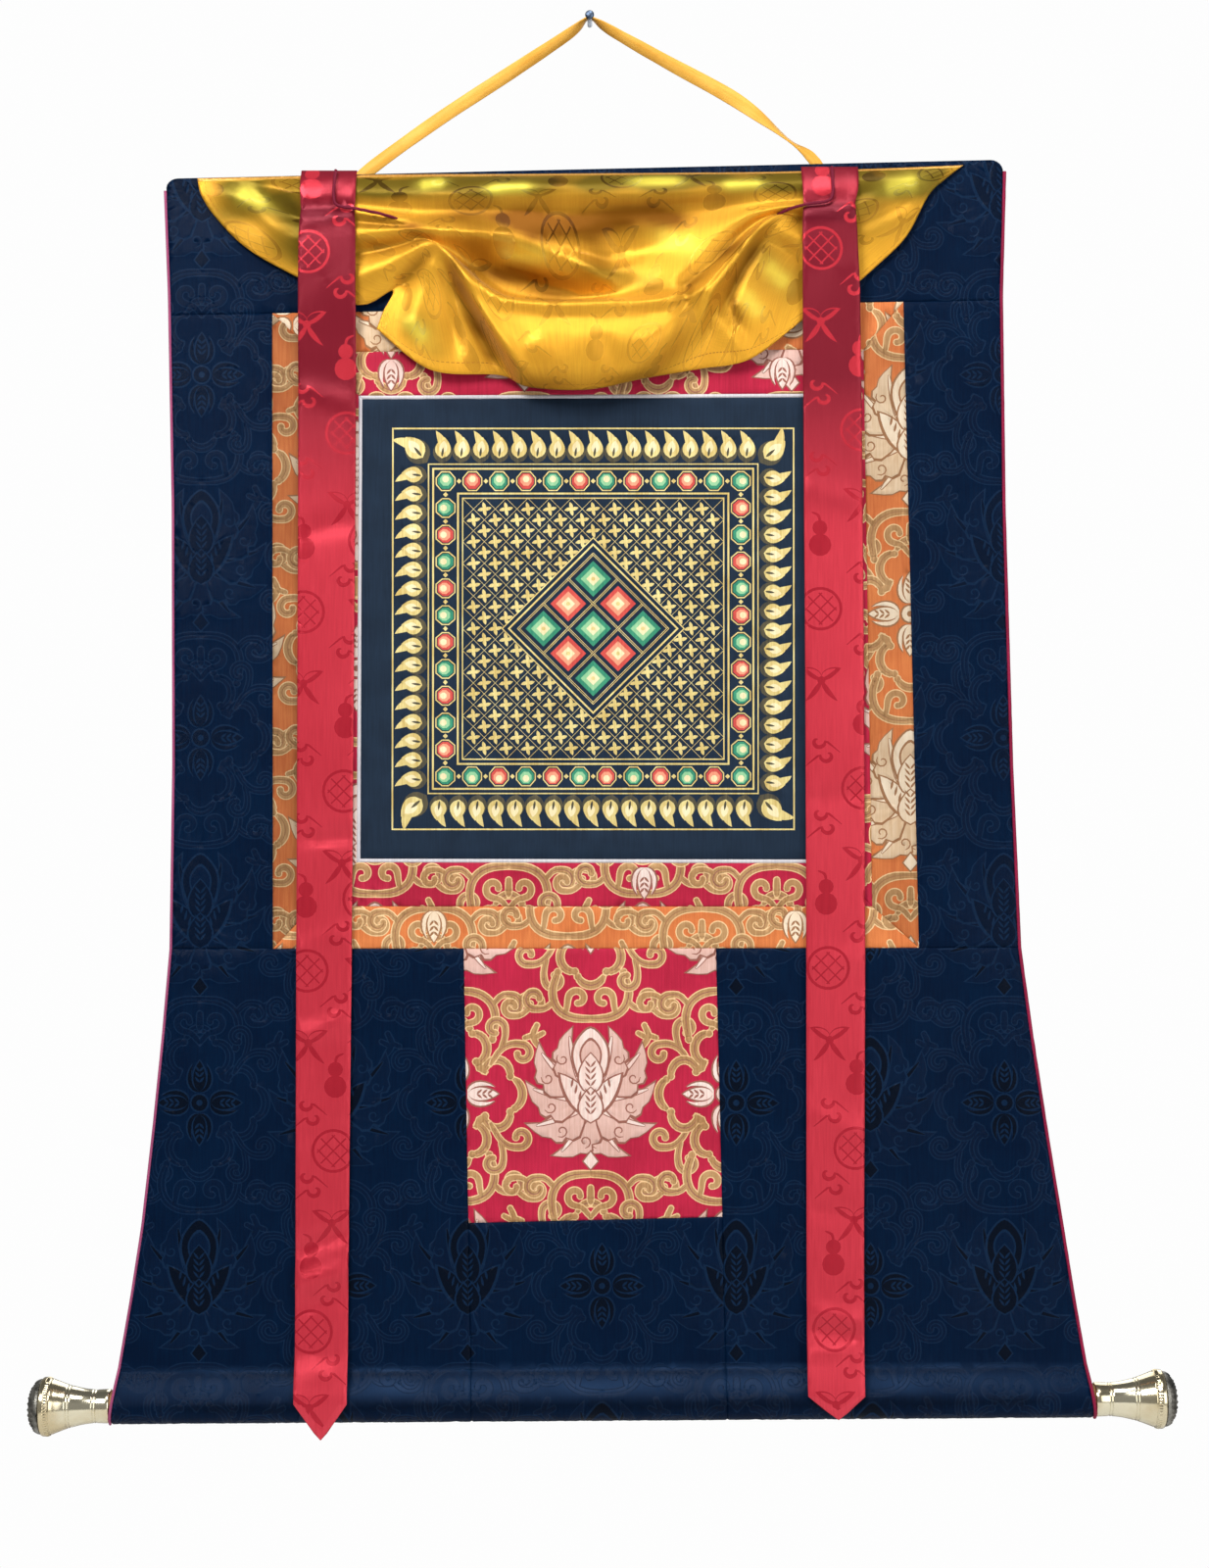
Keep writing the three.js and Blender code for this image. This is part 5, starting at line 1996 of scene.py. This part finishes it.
def make_veil(threads):
    width = VEIL_FLAT["width"]
    length = VEIL_FLAT["length"]
    corners = [(0, -length), (width, -length), (width, 0), (0, 0)]
    outline = sampled(corners, VEIL_SEWING["edge_pitch"])
    shapes = damask(outline, VEIL_SEWING["shift"]) + veil_sewing(width, length)
    # The satin's painted sheen, shade and highlights
    tones = dict(lime=soft_tone(VEIL_PAINTED_SHEEN), painted_shade_brown=soft_tone(VEIL_PAINTED_SHADE), gleam=soft_tone(VEIL_PAINTED_HIGHLIGHT))
    piece = woven("veil_silk", outline, shapes, hung_veil, VEIL_PITCH, threads, tones, SILK_RELIEF)
    even_normals(piece.data)
    stands_for(piece, "veil", "gold_silk")
    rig.sheet(piece, (width * MM, length * MM), "gathered", ["navy_top", "veil_tie_left", "veil_tie_right"])


STRAP_STEP = 5
STRAP_ACROSS = 6
TIP_FOLD = dict(side=5, tip=6.5)
STRAP_SHIFT = dict(left=8, right=14)


def strap_outline(rows):
    left = []
    right = []
    for above, below in zip(rows, rows[1:]):
        count = max(1, round((above["z"] - below["z"]) / STRAP_STEP))
        for j in range(count):
            z = mix(above["z"], below["z"], j / count)
            half = look_up(rows, "z", "width", z) / 2
            left.append((-half, z))
            right.append((half, z))
    tip = (0, rows[-1]["z"])
    half = rows[0]["width"] / 2
    across = [(mix(1, -1, i / STRAP_ACROSS) * half, rows[0]["z"]) for i in range(1, STRAP_ACROSS)]
    return left + [tip] + right[::-1] + across


def tip_fold(rows):
    """The turned-in edges of a pointed end."""
    half = rows[-2]["width"] / 2
    top = rows[-2]["z"]
    tip = rows[-1]["z"]
    shapes = []
    for side in (-1, 1):
        outer = (side * half, top)
        inner = (side * (half - TIP_FOLD["side"]), top)
        shapes.append(("fold", [outer, (0, tip), (0, tip + TIP_FOLD["tip"]), inner]))
    return shapes


UPPER_SHADE = dict(strength=0.85, end_z=-330, fade=100)
PINCH_SHADE = dict(strength=0.4, z=-126, half_width=5)
LIT_PATCH = dict(strength=0.3, z=-110, half_width=9)


def shade_band(row, z):
    return row["strength"] * bell(z, row["z"], row["half_width"])


def strap_shade(x, z):
    """The upper stretch is shaded, most where the tie pinches it."""
    upper = UPPER_SHADE["strength"] * clamp((z - UPPER_SHADE["end_z"]) / UPPER_SHADE["fade"])
    return clamp(upper + shade_band(PINCH_SHADE, z) - shade_band(LIT_PATCH, z))


def make_straps(threads):
    tones = dict(shaded=strap_shade)
    for side, rows in (("left", STRAP_LEFT), ("right", STRAP_RIGHT)):
        node = "strap_" + side
        outline = strap_outline(rows)
        shapes = damask(outline, STRAP_SHIFT[side]) + tip_fold(rows)
        place = hung_strap(rows)
        piece = woven(node + "_silk", outline, shapes, place, STRAP_PITCH, threads, tones, SILK_RELIEF)
        even_normals(piece.data)
        declared(piece, node, "crimson_silk", outline, ["navy_top", "veil"])


# Round and turned pieces
def ring_mesh(name, rings, material):
    """A closed mesh through rings of points, each ring with the same count."""
    count = len(rings[0])
    vertices = [p for ring in rings for p in ring]
    faces = []
    for i in range(len(rings) - 1):
        for j in range(count):
            k = (j + 1) % count
            faces.append((i * count + j, i * count + k, (i + 1) * count + k, (i + 1) * count + j))
    faces.append(tuple(range(count))[::-1])
    faces.append(tuple(range((len(rings) - 1) * count, len(rings) * count)))
    mesh = bpy.data.meshes.new(name)
    mesh.from_pydata(vertices, [], faces)
    middles = [sum(ring, Vector()) / count for ring in rings]
    girth = length_of(rings[0])
    uvs = []
    for i in range(len(rings)):
        run = length_of(middles[:i + 1])
        uvs += [(girth / MM * j / count, run / MM) for j in range(count)]
    finish_mesh(mesh, uvs, [0] * len(faces), [material], None)
    turn_outwards(mesh)
    return added(name, mesh)


def tube(name, path, radii, material, sides, strands=0, pitch=1.0):
    """A round cord along a path, with twisted strands where it has them."""
    rings = []
    run = 0.0
    for i, spot in enumerate(path):
        before = path[max(i - 1, 0)]
        after = path[min(i + 1, len(path) - 1)]
        along = (after - before).normalized()
        aside = along.cross(Vector((0, 1, 0))).normalized()
        front = along.cross(aside)
        run += (spot - before).length
        ring = []
        for j in range(sides):
            turn = 2 * math.pi * j / sides
            lobe = math.cos(strands * (turn + 2 * math.pi * run / pitch)) if strands else 0
            reach = radii[i] * (1 + TIE_TWIST["depth"] * lobe)
            ring.append(spot + (aside * math.cos(turn) + front * math.sin(turn)) * reach)
        rings.append(ring)
    return ring_mesh(name, rings, material)


def turn_outwards(mesh):
    """Turns a closed mesh's faces outwards."""
    volume = 0.0
    for polygon in mesh.polygons:
        corners = [mesh.vertices[v].co for v in polygon.vertices]
        for b, c in zip(corners[1:], corners[2:]):
            volume += corners[0].dot(b.cross(c))
    if volume < 0:
        mesh.flip_normals()


def tape_line(share):
    return point(column(TAPE, "x", share), column(TAPE, "depth", share), column(TAPE, "z", share))


TAPE_STEPS = 140
TAPE_WIDTH = 8.5
TAPE_UNEVEN = dict(swing=0.05, close=40)
TAPE_SECTION = [
    (-0.5, 0), (-0.47, 0.5), (0, 0.42), (0.47, 0.5), (0.5, 0), (0.47, -0.5), (0, -0.42), (-0.47, -0.5),
]
TAPE_THICK = 0.9


def make_tape(material):
    """The gold tape, which turns about its own line, with bevelled edges."""
    rings = []
    path = []
    step = 0.5 / TAPE_STEPS
    for i in range(TAPE_STEPS + 1):
        share = i / TAPE_STEPS
        along = (tape_line(share + step) - tape_line(share - step)).normalized()
        flat = along.cross(Vector((0, 1, 0))).normalized()
        wide = Matrix.Rotation(math.radians(column(TAPE, "turn", share)), 3, along) @ flat
        thick = wide.cross(along)
        uneven = 1 + TAPE_UNEVEN["swing"] * noise.noise(Vector((share * TAPE_UNEVEN["close"], 0, 0)))
        width = column(TAPE, "width", share) * MM * uneven
        spot = tape_line(share)
        rings.append([spot + wide * (a * width) + thick * (b * TAPE_THICK * MM) for a, b in TAPE_SECTION])
        path.append(spot)
    piece = ring_mesh("hanging_tape", rings, material)
    stands_for(piece, "hanging_ribbon", "gold_tape")
    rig.cord(piece, path[0], length_of(path), TAPE_WIDTH * MM, "object", "limp", "taut", path)


TIE_STEPS = 70


def make_ties(material):
    core = TIE_RADIUS * MM * TIE_TWIST["core"]
    twist = (TIE_TWIST["sides"], TIE_TWIST["strands"], TIE_TWIST["pitch"])
    for side, rows in (("left", TIE_LEFT), ("right", TIE_RIGHT)):
        path = []
        for i in range(TIE_STEPS + 1):
            share = i / TIE_STEPS
            x = column(rows, "x", share)
            z = column(rows, "z", share)
            path.append(point(x, front_depth(x, z) + column(rows, "out", share), z))
        piece = tube("veil_cord_" + side, path, [core] * len(path), material, *twist)
        stands_for(piece, "veil_tie_" + side, "crimson_cord")
        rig.cord(piece, path[0], length_of(path), 2 * TIE_RADIUS * MM, "object", "limp", "taut", path)


def binding_path(side, away):
    corner = edge_x(side, TOP_Z)
    start = top_z(corner) - HEM["corner"]
    lower = lower_seam(corner)
    _, flank, arc_length = sleeve_lengths()
    end = stitch_z(corner) - 2 * flank - arc_length + SLEEVE["open_end"]
    path = []
    for i in range(BINDING["upper_rows"]):
        z = mix(start, lower, i / BINDING["upper_rows"])
        x = edge_x(side, z)
        path.append(point(x + away, cloth_depth(x, z), z))
    for i in range(BINDING["foot_rows"] + 1):
        v = mix(lower, end, i / BINDING["foot_rows"])
        _, z, _ = foot_path(corner, v)
        x = edge_x(side, z)
        depth, z, out = foot_path(x, v)
        off = BINDING["off_fold"] * (stitch_z(x) > v)
        path.append(point(x + away, depth + off * out[0], z + off * out[1]))
    return path


LUMPS = dict(left=0.05, right=0.16, close=130)


def make_bindings(materials):
    for side, hand in (("left", -1), ("right", 1)):
        radius = BINDING[side]
        path = binding_path(side, hand * (BINDING["clear"] + radius))
        radii = []
        for i in range(len(path)):
            lump = noise.noise(Vector((i / (len(path) - 1) * LUMPS["close"], radius, 0)))
            radii.append(radius * MM * (1 + LUMPS[side] * lump))
        piece = tube("edge_cord_" + side, path, radii, materials[side], BINDING["sides"])
        stands_for(piece, "edge_binding_" + side, "binding_" + side)


LEAST_RADIUS = 0.01


def plain(radius, at, turn):
    return radius, at


def toothed(radius, at, turn):
    """Teeth round one stretch of a knob."""
    outside = radius > KNOB_SOCKET["radius"] + KNOB_TEETH["wall"]
    on_teeth = outside and KNOB_TEETH["start"] < at < KNOB_TEETH["end"]
    side = 1 if math.sin(KNOB_TEETH["count"] * turn) > 0 else -1
    return radius + KNOB_TEETH["height"] * side * on_teeth, at


def dotted(radius, at, turn):
    """Rows of raised dots on a dome."""
    high = 0.0
    for row in CAP_DOTS:
        spacing = row["radius"] * 2 / row["count"]
        beside = math.sin(turn * row["count"] / 2) ** 2 * spacing ** 2 * DOT["round"]
        high += DOT["height"] * math.exp(-((radius - row["radius"]) ** 2 + beside) / row["size"] ** 2)
    return radius, at + high * (at > CAP_START + DOT["above"])


def turned(name, profile, sides, place, material, cut):
    """A turned piece: rings of radius and distance, with what is cut into them."""
    rings = []
    for radius, at in profile:
        ring = []
        for j in range(sides):
            turn = 2 * math.pi * j / sides
            reach, along = cut(max(radius, LEAST_RADIUS), at, turn)
            ring.append(place @ (Vector((reach * math.cos(turn), reach * math.sin(turn), along)) * MM))
        rings.append(ring)
    return ring_mesh(name, rings, material)


def knob_profile():
    """The socket, the neck, the grooved outside and the flat end."""
    socket = KNOB_SOCKET["radius"]
    profile = [(0, KNOB_SOCKET["depth"]), (socket, KNOB_SOCKET["depth"])]
    profile += [(radius, at - KNOB_NECK) for radius, at in [(socket, 0)] + KNOB_LIP]
    for i in range(KNOB_STEPS + 1):
        at = mix(KNOB_START, KNOB[-1]["at"], i / KNOB_STEPS)
        share = row_place(KNOB, "at", at) / (len(KNOB) - 1)
        groove = sum(bell(at, middle, KNOB_GROOVE["half_width"]) for middle in KNOB_GROOVES)
        profile.append((column(KNOB, "radius", share) - KNOB_GROOVE["depth"] * groove, at))
    return profile + KNOB_END


def cap_profile():
    """The flat underside and the dome with its ring grooves."""
    profile = [(0, CAP_START), (CAP_FOOT["radius"], CAP_START)]
    for i in range(CAP_STEPS):
        share = i / CAP_STEPS
        radius = column(CAP, "radius", share)
        groove = CAP_GROOVE["depth"] * sum(bell(radius, ring, CAP_GROOVE["half_width"]) for ring in CAP_RINGS)
        profile.append((radius, CAP_START + CAP_FOOT["height"] + column(CAP, "at", share) - groove))
    return profile + [(0, CAP_START + CAP[-1]["at"])]


def make_knobs(brass, dark):
    left = point(ROD_ENDS["left_x"], ROD_DEPTH, ROD_ENDS["left_z"])
    right = point(ROD_ENDS["right_x"], ROD_DEPTH, ROD_ENDS["right_z"])
    along = (right - left).normalized()
    for side, spot, outward in (("left", left, -along), ("right", right, along)):
        place = Matrix.Translation(spot) @ outward.to_track_quat("Z", "Y").to_matrix().to_4x4()
        knob = turned("knob_metal_" + side, knob_profile(), KNOB_SIDES, place, brass, toothed)
        stands_for(knob, "knob_" + side, "knob_brass")
        cap = turned("knob_dome_" + side, cap_profile(), CAP_SIDES, place, dark, dotted)
        stands_for(cap, "knob_cap_" + side, "cap_metal")


def make_nail(material):
    place = Matrix.Rotation(math.pi / 2, 4, "X")
    piece = turned("nail_steel", NAIL, NAIL_SIDES, place, material, plain)
    stands_for(piece, "nail", "nail")


def make_rod():
    """The rod keeps its solid, with grained wood."""
    rod = frame["nodes"]["rod"]
    rod.data.materials.clear()
    rod.data.materials.append(wood("rod_wood"))


# The view, the light and the floor
CAMERA = dict(x=0.0095, z=-0.4914, distance=1.62, half_height=0.504, panel_y=-0.012, sensor=24)


def make_camera():
    data = bpy.data.cameras.new("camera")
    data.sensor_fit = "VERTICAL"
    data.sensor_height = CAMERA["sensor"]
    data.lens = CAMERA["sensor"] / 2 * CAMERA["distance"] / CAMERA["half_height"]
    camera = bpy.data.objects.new("camera", data)
    camera.location = (CAMERA["x"], CAMERA["panel_y"] - CAMERA["distance"], CAMERA["z"])
    camera.rotation_euler = (math.pi / 2, 0, 0)
    bpy.context.scene.collection.objects.link(camera)
    bpy.context.scene.camera = camera


LIGHTS = table(
    "name place size power",
    ("key", (-0.8, -1.6, 0.9), 0.8, 41),
    ("fill", (1.3, -1.5, -0.3), 1.4, 14),
    ("top", (0.2, -0.7, 1.0), 0.6, 10),
    ("behind", (0.3, 1.8, 0.3), 1.6, 16),
)
LIGHT_AIM = (0, 0, -0.45)


def make_lights():
    for row in LIGHTS:
        data = bpy.data.lights.new(row["name"], "AREA")
        data.size = row["size"]
        data.energy = row["power"]
        light = bpy.data.objects.new(row["name"], data)
        light.location = row["place"]
        light.rotation_euler = (Vector(LIGHT_AIM) - light.location).to_track_quat("-Z", "Y").to_euler()
        bpy.context.scene.collection.objects.link(light)


LOW_BLEND = (-0.7, -0.1)
HIGH_BLEND = (0.45, 0.8)
WORLD = dict(below=(0.3, 0.25, 0.2, 1), beside=(0.27, 0.27, 0.27, 1), above=(0.13, 0.13, 0.13, 1))
SEEN_GROUND = (0.985, 0.985, 0.985, 1)


def make_world():
    """Even light from the sides, darker overhead and warm from below, before a near-white ground."""
    world = bpy.data.worlds.new("studio")
    bpy.context.scene.world = world
    world.use_nodes = True
    tree = world.node_tree
    tree.nodes.clear()
    ray = put(tree, "ShaderNodeLightPath").outputs["Is Camera Ray"]
    way = put(tree, "ShaderNodeTexCoord").outputs["Generated"]
    up = put(tree, "ShaderNodeSeparateXYZ", {}, {"Vector": way}).outputs["Z"]
    light = blended(tree, ramped(tree, up, *LOW_BLEND), WORLD["below"], WORLD["beside"])
    light = blended(tree, ramped(tree, up, *HIGH_BLEND), light, WORLD["above"])
    colour = blended(tree, ray, light, SEEN_GROUND)
    ground = put(tree, "ShaderNodeBackground", {"Strength": 1.0}, {"Color": colour})
    put(tree, "ShaderNodeOutputWorld", {}, {"Surface": ground.outputs[0]})


FLOOR = dict(z=-1.12, radius=0.95, y=-0.6, sides=64)


def make_floor():
    mesh = bpy.data.meshes.new("floor")
    points = circle(0, FLOOR["y"], FLOOR["radius"], FLOOR["sides"])
    mesh.from_pydata([(x, y, FLOOR["z"]) for x, y in points], [], [list(range(len(points)))])
    material, _, _ = new_material("floor_pale", {"Base Color": (0.8, 0.8, 0.79, 1), "Roughness": 0.8})
    mesh.materials.append(material)
    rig.stage(added("floor", mesh))


def tape_cloth():
    weave = dict(thread=0.4, bump=0.08, mottle=40)
    return cloth("tape_gold", rgb(240, 184, 82), rgb(226, 164, 62), **weave, Roughness=0.5)


def binding_cloths():
    return dict(
        left=cloth("binding_mauve", rgb(172, 84, 122), rgb(150, 64, 104)),
        right=cloth("binding_crimson", rgb(152, 28, 66), rgb(124, 18, 52)),
    )


def brocades():
    return dict(
        orange_brocade=brocade_threads("orange", rgb(222, 130, 72), rgb(200, 106, 56), *CREAM_PETALS),
        red_brocade=brocade_threads("red", rgb(194, 34, 68), rgb(170, 26, 56), *ROSE_PETALS),
    )


def main():
    bpy.context.scene.view_settings.view_transform = "Standard"
    make_camera()
    make_lights()
    make_world()
    make_floor()
    make_tape(tape_cloth())
    make_ties(cloth("tie_cord", rgb(122, 24, 50), rgb(96, 16, 40)))
    make_upper_navy(navy_threads("navy_upper", rgb(1, 16, 38)))
    make_foot_navy(navy_threads("navy_foot", rgb(1, 10, 26)))
    threads = brocades()
    make_borders(threads)
    make_door(threads)
    edging = make_edging(cloth("edging_white", rgb(218, 214, 216), rgb(196, 192, 198), thread=0.7))
    make_painting(painted_threads(), edging)
    make_veil(gold_silk_threads())
    make_straps(crimson_silk_threads())
    make_bindings(binding_cloths())
    brass = metal("knob_brass", rgb(236, 228, 200), rgb(206, 186, 142), scale=30, rough=0.14, bump=0.01)
    dark = metal("knob_dome", rgb(150, 148, 140), rgb(48, 48, 46), scale=160, rough=0.36, bump=0.5)
    make_knobs(brass, dark)
    make_nail(metal("nail_steel", rgb(96, 112, 134), rgb(58, 68, 84), scale=300, rough=0.34, bump=0.1))
    make_rod()
    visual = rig.bounds()
    with open("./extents.json", "w") as out:
        json.dump(dict(cad=[list(p) for p in CAD_BOX], visual=[list(p) for p in visual]), out)


main()
